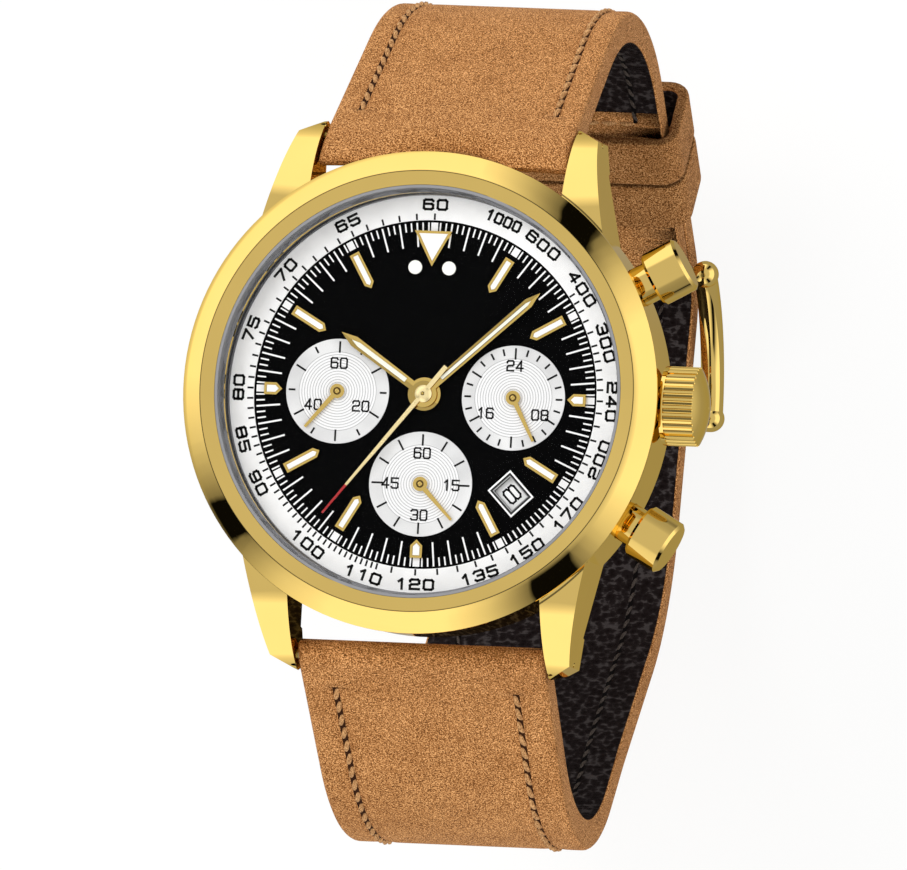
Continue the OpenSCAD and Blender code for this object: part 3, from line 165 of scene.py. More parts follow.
UPPER_L = length_of(UPPER_RUNS)
BUCKLE_AT = along(UPPER_START, UPPER_RUNS, UPPER_L)


def tail_runs():
    """The tail runs on straight, bends over the buckle's bar and lies on the back of the 12 o'clock half."""
    back = along(LOWER_START, LOWER_LEAD, length_of(LOWER_LEAD))
    lap = 2 * HALF_T + LAP_GAP
    h = math.radians(BUCKLE_AT[2])
    foot = Vector((-BUCKLE_AT[0] + lap * math.sin(h), BUCKLE_AT[1] + lap * math.cos(h)))
    go, end = unit(back[2]), unit(-360 - BUCKLE_AT[2])
    turn = back[2] - (-360 - BUCKLE_AT[2])
    cut = TAIL_BEND_R * math.tan(math.radians(turn / 2))
    to_foot = foot - Vector(back[:2])
    cross = go.cross(end)
    first = to_foot.cross(end) / cross - cut
    last = TAIL_L - (to_foot.cross(go) / cross + cut)
    return [(first, 0), arc(TAIL_BEND_R, turn), (last, 0)]


LOWER_RUNS = LOWER_LEAD + tail_runs()
LOWER_L = length_of(LOWER_RUNS)


# Materials


class Tree:
    """A node tree with short calls for the nodes used here."""

    def __init__(self, tree):
        self.tree = tree

    def node(self, kind, inputs=None, **props):
        n = self.tree.nodes.new("ShaderNode" + kind)
        for key, value in props.items():
            setattr(n, key, value)
        for key, value in (inputs or {}).items():
            if isinstance(value, bpy.types.NodeSocket):
                self.tree.links.new(value, n.inputs[key])
            else:
                n.inputs[key].default_value = value
        return n

    def coords(self, scale=(1, 1, 1)):
        """Position on the piece in millimetres, stretched by scale."""
        obj = self.node("TexCoord").outputs["Object"]
        return self.node("Mapping", {"Vector": obj, "Scale": tuple(s / MM for s in scale)}).outputs[0]

    def noise(self, scale, detail=3.0, rough=0.55, at=None):
        inputs = {"Vector": at or self.coords(), "Scale": scale, "Detail": detail, "Roughness": rough}
        return self.node("TexNoise", inputs).outputs["Fac"]

    def math(self, operation, a, b=0.0, clamp=False):
        return self.node("Math", {0: a, 1: b}, operation=operation, use_clamp=clamp).outputs[0]

    def ramp(self, fac, *stops):
        n = self.node("ValToRGB", {"Fac": fac})
        while len(n.color_ramp.elements) < len(stops):
            n.color_ramp.elements.new(0.5)
        for element, (at, colour) in zip(n.color_ramp.elements, stops):
            element.position = at
            element.color = (*colour, 1) if len(colour) == 3 else colour
        return n.outputs["Color"]

    def grey(self, fac, low, high, start=0.0, end=1.0):
        """fac from start to end as a value from low to high."""
        inputs = {"Value": fac, "From Min": start, "From Max": end, "To Min": low, "To Max": high}
        return self.node("MapRange", inputs).outputs["Result"]

    def mix(self, fac, a, b, blend="MIX"):
        n = self.node("Mix", data_type="RGBA", blend_type=blend)
        for key, value in (("Factor", fac), ("A", a), ("B", b)):
            socket = next(s for s in n.inputs if s.name == key and s.enabled)
            if isinstance(value, bpy.types.NodeSocket):
                self.tree.links.new(value, socket)
            else:
                socket.default_value = value if key == "Factor" else (*value, 1)
        return next(s for s in n.outputs if s.enabled)


class Shader(Tree):
    """A material built on one Principled shader."""

    def __init__(self, name, **values):
        self.material = bpy.data.materials.new(name)
        self.material.use_nodes = True
        super().__init__(self.material.node_tree)
        self.bsdf = self.tree.nodes["Principled BSDF"]
        for socket, value in values.items():
            self.bsdf.inputs[socket.replace("_", " ")].default_value = value

    def bump(self, height, strength, distance):
        n = self.node("Bump", {"Height": height, "Strength": strength, "Distance": distance * MM})
        self.tree.links.new(n.outputs["Normal"], self.bsdf.inputs["Normal"])

    def set(self, socket, value):
        self.tree.links.new(value, self.bsdf.inputs[socket])


def metal(name, colour, rough, spread=0.05, brushed=None, edge=(1, 1, 1), lines=None):
    """Metal with fine handling marks; it may be brushed, darkened on lines as painted shade, and tinted at a
    low angle.
    """
    s = Shader(name, Metallic=1.0, Specular_Tint=(*edge, 1))
    stretch = brushed or (1, 1, 1)
    fine = s.noise(3.0 if brushed else 0.9, 4.0, 0.6, s.coords(stretch))
    s.set("Roughness", s.grey(fine, rough - spread / 2, rough + spread, 0.3, 0.75))
    tone = s.noise(0.12, 2.0)
    base = s.ramp(tone, (0.3, tuple(c * 0.95 for c in colour)), (0.7, colour))
    # Where lines are given, the colour there is darkened: painted shade
    s.set("Base Color", s.mix(lines(s), base, tuple(c * 0.24 for c in colour)) if lines else base)
    s.bump(fine, 0.1, 0.01 if brushed else 0.001)
    return s.material


def lacquer(name, colour, rough=0.35, gloss=0.5):
    """Even paint or plastic with a trace of orange peel."""
    s = Shader(name, Specular_IOR_Level=gloss)
    s.set("Roughness", s.grey(s.noise(1.6), rough - 0.05, rough + 0.08))
    dark = tuple(c * 0.93 for c in colour)
    s.set("Base Color", s.ramp(s.noise(0.5, 2.0), (0.35, dark), (0.65, colour)))
    s.bump(s.noise(5.0, 2.0), 0.08, 0.01)
    return s.material


def nubuck(name, shade=1.0):
    """Tan nubuck: fine crisp nap in several tones, with cloudy rubbed patches."""
    s = Shader(name, Specular_IOR_Level=0.1, Specular_Tint=(1.0, 0.8, 0.4, 1))
    nap = s.noise(8.5, 2.0, 0.8)
    tones = (
        (0.38, (0.075, 0.024, 0.006)),
        (0.47, (0.31, 0.125, 0.036)),
        (0.53, (0.49, 0.215, 0.069)),
        (0.61, (0.86, 0.46, 0.19)),
    )
    colour = s.ramp(nap, *((at, tuple(c * shade for c in tone)) for at, tone in tones))
    cloud = s.ramp(s.noise(0.3, 4.0, 0.65), (0.32, (0.88, 0.84, 0.80)), (0.66, (1.04, 1.04, 1.04)))
    s.set("Base Color", s.mix(1.0, colour, cloud, "MULTIPLY"))
    s.set("Roughness", s.grey(nap, 0.75, 0.95))
    s.bump(s.math("ADD", nap, s.math("MULTIPLY", s.noise(0.9, 4.0), 0.7)), 0.6, 0.09)
    return s.material


def grained(name):
    """Dark lining leather with a pebbled grain and sharp crinkles across it, the highest ridges painted
    lighter as glints.
    """
    s = Shader(name, Specular_IOR_Level=0.03, Specular_Tint=(1.0, 0.86, 0.66, 1))
    pebbles = {"Vector": s.coords((1.2, 1, 1)), "Scale": 1.5}
    cells = s.node("TexVoronoi", pebbles, feature="F1").outputs["Distance"]
    crinkle = s.noise(2.6, 5.0, 0.7, s.coords((0.5, 1.3, 1.3)))
    grain = s.math("ADD", s.math("MULTIPLY", cells, 0.55), crinkle)
    # The lightest tone, on the highest ridges, is a painted glint
    tones = ((0.5, (0.008, 0.005, 0.005)), (0.84, (0.018, 0.013, 0.013)), (0.94, (0.065, 0.055, 0.054)))
    s.set("Base Color", s.ramp(grain, *tones))
    s.set("Roughness", s.grey(crinkle, 0.26, 0.5, 0.3, 0.7))
    s.bump(grain, 1.0, 0.4)
    return s.material


def thread(name, dark, light):
    """Twisted thread: fine strands across its run."""
    s = Shader(name, Specular_IOR_Level=0.3, Specular_Tint=(1.0, 0.8, 0.4, 1))
    strands = s.noise(6.0, 2.0, 0.6, s.coords((2.2, 1, 1)))
    s.set("Base Color", s.ramp(strands, (0.35, dark), (0.68, light)))
    s.set("Roughness", s.grey(strands, 0.6, 0.85))
    s.bump(strands, 0.8, 0.06)
    return s.material


def ringed(name):
    """Silvered sub-dials: fine turned rings inside a plain rim, round three centres."""
    s = Shader(name, Metallic=0.0, Specular_IOR_Level=0.5)
    at = s.coords()
    nearest = None
    for x, y in ((SUBDIAL_OFFSET, 0), (0, -SUBDIAL_OFFSET), (-SUBDIAL_OFFSET, 0)):
        flat = s.node("VectorMath", {0: at, 1: (1, 1, 0)}, operation="MULTIPLY").outputs[0]
        d = s.node("VectorMath", {0: flat, 1: (x, y, 0)}, operation="DISTANCE").outputs["Value"]
        nearest = d if nearest is None else s.math("MINIMUM", nearest, d)
    pitch, turned_r = 0.24, 3.45
    wave = s.math("SINE", s.math("MULTIPLY", nearest, 2 * math.pi / pitch))
    inside = s.math("LESS_THAN", nearest, turned_r)
    line = s.math("MULTIPLY", s.math("GREATER_THAN", wave, 0.72), inside)
    plain = s.ramp(s.noise(0.25, 2.0), (0.3, (0.58, 0.58, 0.58)), (0.7, (0.76, 0.76, 0.755)))
    bright = s.mix(inside, plain, (0.80, 0.80, 0.80))
    s.set("Base Color", s.mix(line, bright, (0.40, 0.40, 0.40)))
    s.set("Roughness", s.grey(wave, 0.32, 0.5, -1, 1))
    s.bump(s.math("MULTIPLY", wave, inside), 0.25, 0.02)
    return s.material


def glass(name):
    """Clear crystal that reflects more at a low angle."""
    s = Shader(name, Base_Color=(0.02, 0.022, 0.022, 1), Specular_IOR_Level=0.5)
    s.set("Roughness", s.grey(s.noise(0.3, 2.0), 0.02, 0.05))
    facing = s.node("LayerWeight", {"Blend": 0.25}).outputs["Facing"]
    s.set("Alpha", s.grey(facing, 0.01, 0.5, 0.5, 1.0))
    return s.material


def tipped(name, gold, tip, start):
    """Gold hand whose end is painted from a given distance off the dial's centre."""
    s = Shader(name)
    flat = s.node("VectorMath", {0: s.coords(), 1: (1, 1, 0)}, operation="MULTIPLY").outputs[0]
    reach = s.node("VectorMath", {0: flat}, operation="LENGTH").outputs["Value"]
    painted = s.math("GREATER_THAN", reach, start)
    s.set("Base Color", s.mix(painted, gold, tip))
    s.set("Metallic", s.math("MULTIPLY", s.math("SUBTRACT", 1.0, painted), 0.6))
    s.set("Roughness", s.grey(s.noise(1.2), 0.2, 0.32))
    return s.material


def framed(name):
    """Date frame: a white line round its outside and a grey one inside, on black."""
    s = Shader(name, Roughness=0.4)
    a = math.radians(DATE_ANGLE)
    at = s.coords()
    turned = [
        s.node("VectorMath", {0: at, 1: way}, operation="DOT_PRODUCT").outputs["Value"]
        for way in ((math.cos(a), -math.sin(a), 0), (math.sin(a), math.cos(a), 0))
    ]
    u = s.math("SUBTRACT", s.math("ABSOLUTE", turned[0]), DATE_FRAME[0] / 2)
    v = s.math("SUBTRACT", s.math("ABSOLUTE", s.math("SUBTRACT", turned[1], DATE_R)), DATE_FRAME[1] / 2)
    inside = s.math("ADD", s.math("MAXIMUM", u, v), DATE_RIM, clamp=True)
    stops = ((0.0, 0.35), (0.07, 0.35), (0.08, 0.004), (0.25, 0.004), (0.26, 0.9), (1.0, 0.9))
    s.set("Base Color", s.ramp(inside, *((at, (level,) * 3) for at, level in stops)))
    return s.material


def off_axis(s, centre, across):
    """Distance of a point from an axis through centre; across is 0 along the axis."""
    flat = s.node("VectorMath", {0: s.coords(), 1: across}, operation="MULTIPLY").outputs[0]
    return s.node("VectorMath", {0: flat, 1: centre}, operation="DISTANCE").outputs["Value"]


def near(s, value, at, half):
    """1 where a value is within half of at."""
    return s.math("LESS_THAN", s.math("ABSOLUTE", s.math("SUBTRACT", value, at)), half)


def bezel_lines(s):
    """Painted shade: a fine dark line along the bezel's crest."""
    return near(s, off_axis(s, (0, 0, 0), (1, 1, 0)), CREST_R, CREST_HALF)


def case_lines(s):
    """Painted shade in the joint where the lugs meet the bezel, and in two turned grooves round the band."""
    z = s.node("SeparateXYZ", {0: s.coords()}).outputs["Z"]
    r = off_axis(s, (0, 0, 0), (1, 1, 0))
    grooves = s.math("MAXIMUM", near(s, z, GROOVE_Z[0], GROOVE_HALF), near(s, z, GROOVE_Z[1], GROOVE_HALF))
    on_band = s.math("LESS_THAN", r, BAND_R)
    normal = s.node("SeparateXYZ", {0: s.node("NewGeometry").outputs["Normal"]}).outputs
    facing_up = s.math("GREATER_THAN", normal["Z"], 0.4)
    joint = s.math("MULTIPLY", near(s, r, JOINT_R, JOINT_HALF), facing_up)
    return s.math("MAXIMUM", joint, s.math("MULTIPLY", grooves, on_band))


def flute_lines(s):
    """Painted shade in the bottoms of the crown's flutes."""
    x = s.node("SeparateXYZ", {0: s.coords()}).outputs["X"]
    deep = s.math("LESS_THAN", off_axis(s, (0, 0, STEM_Z), (0, 1, 1)), FLUTE_BOTTOM_R)
    return s.math("MULTIPLY", deep, s.math("LESS_THAN", x, FLUTE_END_X))


def gold(name, lines=None):
    """Polished gold plate."""
    return metal(name, (0.95, 0.67, 0.195), 0.015, 0.01, edge=(0.95, 0.80, 0.42), lines=lines)


GOLD = gold("polished_gold")
STEEL = metal("satin_steel", (0.58, 0.57, 0.54), 0.28, brushed=(0.15, 4, 1))
# Darkened gold: painted shade, used for the countersinks of the hands' pins
PAINTED_SHADE_GOLD = metal("shaded_gold", (0.16, 0.10, 0.03), 0.3)
REHAUT = metal("polished_rehaut", (0.30, 0.30, 0.31), 0.06, 0.03, edge=(0.4, 0.4, 0.41))
BRASS = metal("machined_brass", (0.62, 0.45, 0.20), 0.3, brushed=(4, 0.2, 1))
MATERIALS = {
    "gold": GOLD,
    "steel": STEEL,
    "battery_steel": metal("battery_steel", (0.7, 0.7, 0.71), 0.2),
    "silver": ringed("silvered_rings"),
    "crystal": glass("clear_crystal"),
    "gasket_white": lacquer("grey_plastic", (0.24, 0.24, 0.25), 0.5),
    "print_white": lacquer("white_lacquer", (0.95, 0.95, 0.945), 0.4),
    "lume": lacquer("luminous_paste", (0.93, 0.93, 0.86), 0.6),
    "dial_black": lacquer("black_dial", (0.001, 0.001, 0.0011), 0.4, 0.02),
    "rubber": lacquer("rubber", (0.02, 0.02, 0.02), 0.6),
    "movement_brass": BRASS,
    "board": lacquer("solder_mask", (0.03, 0.16, 0.07), 0.3),
    "copper": metal("enamelled_copper", (0.55, 0.24, 0.10), 0.3, brushed=(1, 1, 8)),
    "tan_leather": nubuck("tan_nubuck"),
    "lining_leather": grained("dark_lining"),
}
for part in frame["record"]["subparts"]:
    data = NODES[part["node"]].data
    data.materials.clear()
    data.materials.append(MATERIALS[part["material_slot"]])


def hand_way(node):
    """Direction of a hand's tip from the dial's centre."""
    tip = max((v.co for v in NODES[node].data.vertices), key=lambda co: co.x**2 + co.y**2)
    return Vector((tip.x, tip.y, 0)).normalized()


def beside(s, way):
    """Distance of a point to one side of a hand's middle line."""
    side = (-way.y, way.x, 0)
    return s.node("VectorMath", {0: s.coords(), 1: side}, operation="DOT_PRODUCT").outputs["Value"]


def faceted(name, way):
    """Gold hand ground to two facets, one of them darkened as painted shade."""
    return gold(name, lambda s: s.math("MULTIPLY", s.math("GREATER_THAN", beside(s, way), 0.0), 0.4))


def filled(name, way, half):
    """Luminous fill of a hand: a pale stripe between fine dark lines on gold."""
    s = Shader(name, Roughness=0.5)
    off = s.math("ABSOLUTE", beside(s, way))
    pale, dark, rim = (0.80, 0.80, 0.68), (0.12, 0.08, 0.02), (0.62, 0.44, 0.13)
    stops = ((half, pale), (half + 0.01, dark), (half + 0.07, dark), (half + 0.08, rim))
    s.set("Base Color", s.ramp(off, *stops))
    s.bump(s.noise(4.0, 2.0), 0.2, 0.02)
    return s.material


# Hour and minute hands: gold with painted shade on one facet, and their luminous fill
for hand, half in (("hour_hand", 0.2), ("minute_hand", 0.13)):
    way = hand_way(hand)
    NODES[hand].data.materials[0] = faceted(hand + "_facets", way)
    NODES[hand + "_lume"].data.materials[0] = filled(hand + "_fill", way, half)

RED_START = 10.4
SECOND_HAND = tipped("second_hand_gold_and_red", (1.0, 0.82, 0.42), (0.36, 0.016, 0.018), RED_START)
for node, look in (
    ("chrono_second_hand", SECOND_HAND),
    ("rehaut", REHAUT),
    ("date_frame", framed("date_frame_lines")),
    # The bezel's, case's and crown's golds carry painted shade on their lines
    ("bezel", gold("bezel_gold", bezel_lines)),
    ("mid_case", gold("case_gold", case_lines)),
    ("crown", gold("fluted_gold", flute_lines)),
):
    NODES[node].data.materials[0] = look


# Pieces


def piece(name, verts, faces, material, body="case", slot=None, replaces=(), smooth=True):
    """A mesh piece from points in millimetres, riding on a CAD body."""
    mesh = bpy.data.meshes.new(name)
    mesh.from_pydata([mm(v) for v in verts], [], faces)
    mesh.validate()
    mesh.materials.append(material)
    mesh.polygons.foreach_set("use_smooth", [smooth] * len(mesh.polygons))
    obj = bpy.data.objects.new(name, mesh)
    bpy.context.scene.collection.objects.link(obj)
    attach(obj, body)
    if replaces:
        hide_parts(*replaces)
    return obj


class Print:
    """Flat printed marks gathered into one piece at height z."""

    def __init__(self, z):
        self.z, self.verts, self.faces = z, [], []

    def quad(self, corners):
        n = len(self.verts)
        self.verts += [(x, y, self.z) for x, y in corners]
        self.faces.append(tuple(range(n, n + len(corners))))

    def stroke(self, a, b, width):
        """A straight line from a to b with square ends."""
        d = (Vector(b) - Vector(a)).normalized() * width / 2
        side = Vector((-d.y, d.x))
        a, b = Vector(a) - d, Vector(b) + d
        self.quad([a + side, a - side, b - side, b + side])

    def tick(self, centre, angle, r_in, r_out, width):
        """A radial line at a dial direction, clockwise from 12 o'clock."""
        out = dial_way(angle)
        side = Vector((out.y, -out.x)) * width / 2
        a, b = Vector(centre) + out * r_in, Vector(centre) + out * r_out
        self.quad([a + side, a - side, b - side, b + side])

    def number(self, digits, centre, height, turn, weight, width=0.68, space=0.34):
        """Squared numerals about a centre, turned clockwise by turn degrees."""
        step = height * (width + space)
        rot = Matrix.Rotation(-math.radians(turn), 2)
        for i, digit in enumerate(digits):
            x0 = (i - (len(digits) - 1) / 2) * step
            for line in GLYPHS[digit]:
                local = [Vector((x0 + (x - 0.5) * height * width, (y - 0.5) * height)) for x, y in line]
                at = [Vector(centre) + rot @ p for p in local]
                for a, b in zip(at, at[1:]):
                    self.stroke(a, b, weight)

    def make(self, name, material, body="case"):
        piece(name, self.verts, self.faces, material, body, smooth=False)


# Strokes of each digit, across and up a unit box
GLYPHS = {
    "0": [
        [(0, 0.14), (0, 0.86), (0.16, 1), (0.84, 1), (1, 0.86), (1, 0.14), (0.84, 0), (0.16, 0), (0, 0.14)],
    ],
    "1": [[(0.28, 0.78), (0.62, 1), (0.62, 0)]],
    "2": [
        [(0, 0.8), (0, 0.88), (0.16, 1), (0.84, 1), (1, 0.88), (1, 0.62), (0.84, 0.52), (0.16, 0.48)]
        + [(0, 0.36), (0, 0), (1, 0)],
    ],
    "3": [
        [(0, 0.88), (0.16, 1), (0.84, 1), (1, 0.88), (1, 0.62), (0.84, 0.51), (0.36, 0.51)],
        [(0.84, 0.51), (1, 0.4), (1, 0.12), (0.84, 0), (0.16, 0), (0, 0.12)],
    ],
    "4": [[(0.72, 0), (0.72, 1), (0, 0.28), (1, 0.28)]],
    "5": [[(1, 1), (0, 1), (0, 0.56), (0.84, 0.56), (1, 0.44), (1, 0.12), (0.84, 0), (0.16, 0), (0, 0.12)]],
    "6": [
        [(1, 0.88), (0.84, 1), (0.16, 1), (0, 0.88), (0, 0.12), (0.16, 0), (0.84, 0), (1, 0.12), (1, 0.44)]
        + [(0.84, 0.56), (0, 0.56)],
    ],
    "7": [[(0, 1), (1, 1), (0.38, 0)]],
    "8": [
        [(0.16, 0.52), (0, 0.63), (0, 0.88), (0.16, 1), (0.84, 1), (1, 0.88), (1, 0.63)]
        + [(0.84, 0.52), (0.16, 0.52)],
        [(0.16, 0.52), (0, 0.4), (0, 0.12), (0.16, 0), (0.84, 0), (1, 0.12), (1, 0.4), (0.84, 0.52)],
    ],
    "9": [
        [(0, 0.12), (0.16, 0), (0.84, 0), (1, 0.12), (1, 0.88), (0.84, 1), (0.16, 1), (0, 0.88), (0, 0.56)]
        + [(0.16, 0.44), (1, 0.44)],
    ],
}
INK = lacquer("black_ink", (0.006, 0.006, 0.006), 0.5, 0.2)
WHITE_INK = lacquer("white_ink", (0.90, 0.90, 0.90), 0.5)
MINUTE = 6


def speed_angle(speed):
    """Direction of a speed on the tachymeter scale, clockwise from 12 o'clock."""
    return 360 * 60 / speed


# Minute track on the black dial
track = Print(DIAL_TOP + PRINT_LIFT)
TRACK_OUT, TRACK_SHORT, TRACK_LONG = 15.0, 14.25, 12.9
HOUR_TICK_W, MINUTE_TICK_W, SHORT_TICK_W = 0.6, 0.15, 0.13
SHORT_TICKS = 3
DATE_REACH = 11
for i in range(60 * SHORT_TICKS):
    angle = i * MINUTE / SHORT_TICKS
    near_hour = min(angle % 30, 30 - angle % 30)
    beside_date = abs(angle - DATE_ANGLE) < DATE_REACH
    if near_hour < 0.1:
        track.tick((0, 0), angle, TRACK_SHORT, TRACK_OUT, HOUR_TICK_W)
    elif i % SHORT_TICKS == 0:
        track.tick((0, 0), angle, TRACK_SHORT if beside_date else TRACK_LONG, TRACK_OUT, MINUTE_TICK_W)
    else:
        track.tick((0, 0), angle, TRACK_SHORT, TRACK_OUT, SHORT_TICK_W)
track.make("minute_track", WHITE_INK)

# Tachymeter scale on the white ring
scale = Print(RING_TOP + PRINT_LIFT)
SCALE_IN, SCALE_OUT, SCALE_TICK_W = RING_IN + 0.03, RING_IN + 0.58, 0.17
speeds = [*range(60, 113), *range(115, 200, 5), *range(200, 300, 10), *range(300, 401, 20)]
for speed in speeds:
    scale.tick((0, 0), speed_angle(speed), SCALE_IN, SCALE_OUT, SCALE_TICK_W)
NUMERAL_R, NUMERAL_H, NUMERAL_WEIGHT = 16.55, 0.82, 0.22
NUMERAL_W, NUMERAL_SPACE = 0.98, 0.52
TIGHT_FROM, TIGHT_W, TIGHT_SPACE = 1000, 0.7, 0.36
OUTWARD = (60, 65, 70, 75, 80, 240, 300, 400, 600, 1000)
INWARD = (85, 90, 100, 110, 120, 135, 150, 170, 200)
for speed in OUTWARD + INWARD:
    angle = speed_angle(speed) % 360
    turn = angle if speed in OUTWARD else angle + 180
    width, space = (TIGHT_W, TIGHT_SPACE) if speed >= TIGHT_FROM else (NUMERAL_W, NUMERAL_SPACE)
    scale.number(str(speed), dial_way(angle) * NUMERAL_R, NUMERAL_H, turn, NUMERAL_WEIGHT, width, space)
scale.make("tachymeter_scale", INK)

# Sub-dials: direction, ticks, ticks to each long one, radius of the numerals, and numerals by direction
SUBDIALS = (
    (90, 24, 4, 2.8, {0: "24", 120: "08", 240: "16"}),
    (180, 12, 1, 2.7, {0: "60", 90: "15", 180: "30", 270: "45"}),
    (270, 12, 2, 2.45, {0: "60", 120: "20", 240: "40"}),
)
SUB_RIM, SUB_SHORT, SUB_LONG, SUB_TICK_W = 0.25, 0.85, 1.25, 0.17
SUB_NUMERAL_H, SUB_NUMERAL_WEIGHT, SUB_NUMERAL_W, SUB_NUMERAL_SPACE = 0.86, 0.15, 0.66, 0.3
sub_print = Print(SUBDIAL_TOP + PRINT_LIFT)
for direction, ticks, long_every, reach, numerals in SUBDIALS:
    centre = dial_way(direction) * SUBDIAL_OFFSET
    for i in range(ticks):
        inner = SUBDIAL_R - (SUB_LONG if i % long_every == 0 else SUB_SHORT)
        sub_print.tick(centre, 360 * i / ticks, inner, SUBDIAL_R - SUB_RIM, SUB_TICK_W)
    for angle, digits in numerals.items():
        at = centre + dial_way(angle) * reach
        sub_print.number(digits, at, SUB_NUMERAL_H, 0, SUB_NUMERAL_WEIGHT, SUB_NUMERAL_W, SUB_NUMERAL_SPACE)
sub_print.make("subdial_print", INK)

# Day numbers on the date disc, reading outwards
DAYS = 31
ONE_DIGIT, TWO_DIGITS = (1.15, 1.15), (0.95, 0.62)
DAY_WEIGHT, DAY_SPACE = 0.18, 0.3
days = Print(DATE_TOP + PRINT_LIFT)
for day in range(1, DAYS + 1):
    angle = DATE_ANGLE - (day - DATE_SHOWN) * 360 / DAYS
    size, width = ONE_DIGIT if day < 10 else TWO_DIGITS
    days.number(str(day), dial_way(angle) * DATE_R, size, angle - 90, DAY_WEIGHT, width, DAY_SPACE)
days.make("day_numbers", INK, "date")


# Pins of the hands: a domed end on a thin dark disc, painted shade for a countersink


def tube_faces(rings, sides, base=0):
    """Faces between neighbouring rings of points."""
    faces = []
    for i in range(rings - 1):
        for j in range(sides):
            a, b = base + i * sides + j, base + i * sides + (j + 1) % sides
            faces.append((a, b, b + sides, a + sides))
    return faces


def lathe(profile, centre, sides=28):
    """Surface of revolution about an upright axis, from (radius, height) pairs."""
    verts = []
    for r, z in profile:
        for j in range(sides):
            a = 2 * math.pi * j / sides
            verts.append((centre[0] + r * math.cos(a), centre[1] + r * math.sin(a), z))
    return verts, tube_faces(len(profile), sides)


SUB_PIN_R, CENTRE_PIN_R = 0.34, 0.17
for node, body, direction, offset, r in (
    ("day_hand", "day", 90, SUBDIAL_OFFSET, SUB_PIN_R),
    ("small_second_hand", "small_second", 180, SUBDIAL_OFFSET, SUB_PIN_R),
    ("chrono_minute_hand", "chrono_minute", 270, SUBDIAL_OFFSET, SUB_PIN_R),
    ("chrono_second_hand", "chrono_second", 0, 0, CENTRE_PIN_R),
):
    at = dial_way(direction) * offset
    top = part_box(node)[1].z / MM
    sink = [(r, top + 0.004), (0.9 * r, top + 0.008), (0.01, top + 0.008)]
    piece(body + "_countersink", *lathe(sink, at), PAINTED_SHADE_GOLD, body)
    dome = [(0.6 * r * math.cos(a), top + 0.01 + 0.2 * r * math.sin(a)) for a in np.linspace(0, 1.5, 7)]
    piece(body + "_pin", *lathe(dome, at), GOLD, body)


# Springs of the pushers

SPRING_TURNS, SPRING_STEPS, SPRING_SIDES = 4, 20, 8


def coil(name, node, body, angle):
    """Wire spring round a pusher's rod, in its solid's place; it moves with the pusher."""
    out, up = Vector((*unit(angle), 0)), Vector((0, 0, 1))
    side, centre = up.cross(out), up * STEM_Z
    at = [v.co / MM - centre for v in NODES[node].data.vertices]
    reach = [p.dot(out) for p in at]
    off = [math.hypot(p.dot(side), p.z) for p in at]
    wire_r, radius = (max(off) - min(off)) / 2, (max(off) + min(off)) / 2
    first, last = min(reach) + wire_r, max(reach) - wire_r
    steps = SPRING_TURNS * SPRING_STEPS
    verts, m = [], SPRING_SIDES
    for i in range(steps + 1):
        turn, x = 2 * math.pi * i / SPRING_STEPS, first + (last - first) * i / steps
        away = side * math.sin(turn) - up * math.cos(turn)
        for j in range(m):
            a = 2 * math.pi * j / m
            r = radius + wire_r * math.cos(a)
            verts.append(centre + out * (x - wire_r * math.sin(a)) + away * r)
    faces = tube_faces(steps + 1, m)
    faces += [tuple(range(m))[::-1], tuple(range(steps * m, (steps + 1) * m))]
    obj = piece(name, verts, faces, STEEL, body, "steel", [node])
    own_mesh(obj)


coil("start_coil", "start_spring", "start_pusher", PUSHER_ANGLE)
coil("reset_coil", "reset_spring", "reset_pusher", -PUSHER_ANGLE)


# Strap


def strap_width(s):
    """Width at distance s from the spring bar."""
    return max(BUCKLE_W, STRAP_W - (STRAP_W - BUCKLE_W) * max(s, 0) / TAPER_L)


def on_strap(state, x, n, side):
    """Point at x across the strap and n out of it; side is -1 for the 6 o'clock half."""
    h = math.radians(state[2])
    return (x, side * (state[0] - n * math.sin(h)), state[1] + n * math.cos(h))


UPPER_STITCH_IN, LOWER_STITCH_IN = 2.3, 2.9
TURNED_W = 0.15
GROOVE_DEPTH, GROOVE_W = 0.16, 0.55
TOP_POINTS = 97


def rounded_ring(w, lo, hi, top_r, low_r, groove=0.0, edge_lo=None):
    """Cross-section of a strap layer, from lo to hi.

    Its rounded edges reach down to edge_lo, and a line is pressed in at groove from each edge.
    """
    edge_lo = lo if edge_lo is None else edge_lo
    top_r = min(top_r, (hi - edge_lo) * 0.55, w * 0.4)
    low_r = min(low_r, (hi - edge_lo) * 0.3, w * 0.2)
    turn = w / 2 - min(TURNED_W, w * 0.3)
    pts = [(low_r - w / 2, edge_lo), (-turn, edge_lo)]
    pts += [(x * turn, lo) for x in np.linspace(-1, 1, 5)]
    pts += [(turn, edge_lo), (w / 2 - low_r, edge_lo)]
    edge_from = len(pts) - 1
    for a in np.radians(np.linspace(-90, 0, 4)[1:]):
        pts.append((w / 2 - low_r + low_r * math.cos(a), edge_lo + low_r + low_r * math.sin(a)))
    for a in np.radians(np.linspace(0, 90, 6)):
        pts.append((w / 2 - top_r + top_r * math.cos(a), hi - top_r + top_r * math.sin(a)))
    left = [(-x, n) for x, n in pts[edge_from:]]
    flat = w / 2 - top_r
    stitch, depth = w / 2 - groove, GROOVE_DEPTH if groove else 0.0
    for x in np.linspace(flat, -flat, TOP_POINTS)[1:-1]:
        press = math.exp(-(((abs(x) - stitch) / GROOVE_W) ** 2)) * depth
        pts.append((x, hi - press))
    return pts + left[::-1][:-1]


END_LEAST, END_MOST, END_CURVE = 0.6, 3.2, 13.5


def end_reach(x):
    """How far the 12 o'clock half's curved end reaches past its bar's rounding, following the case."""
    return min(END_MOST, END_LEAST + x * x / END_CURVE)


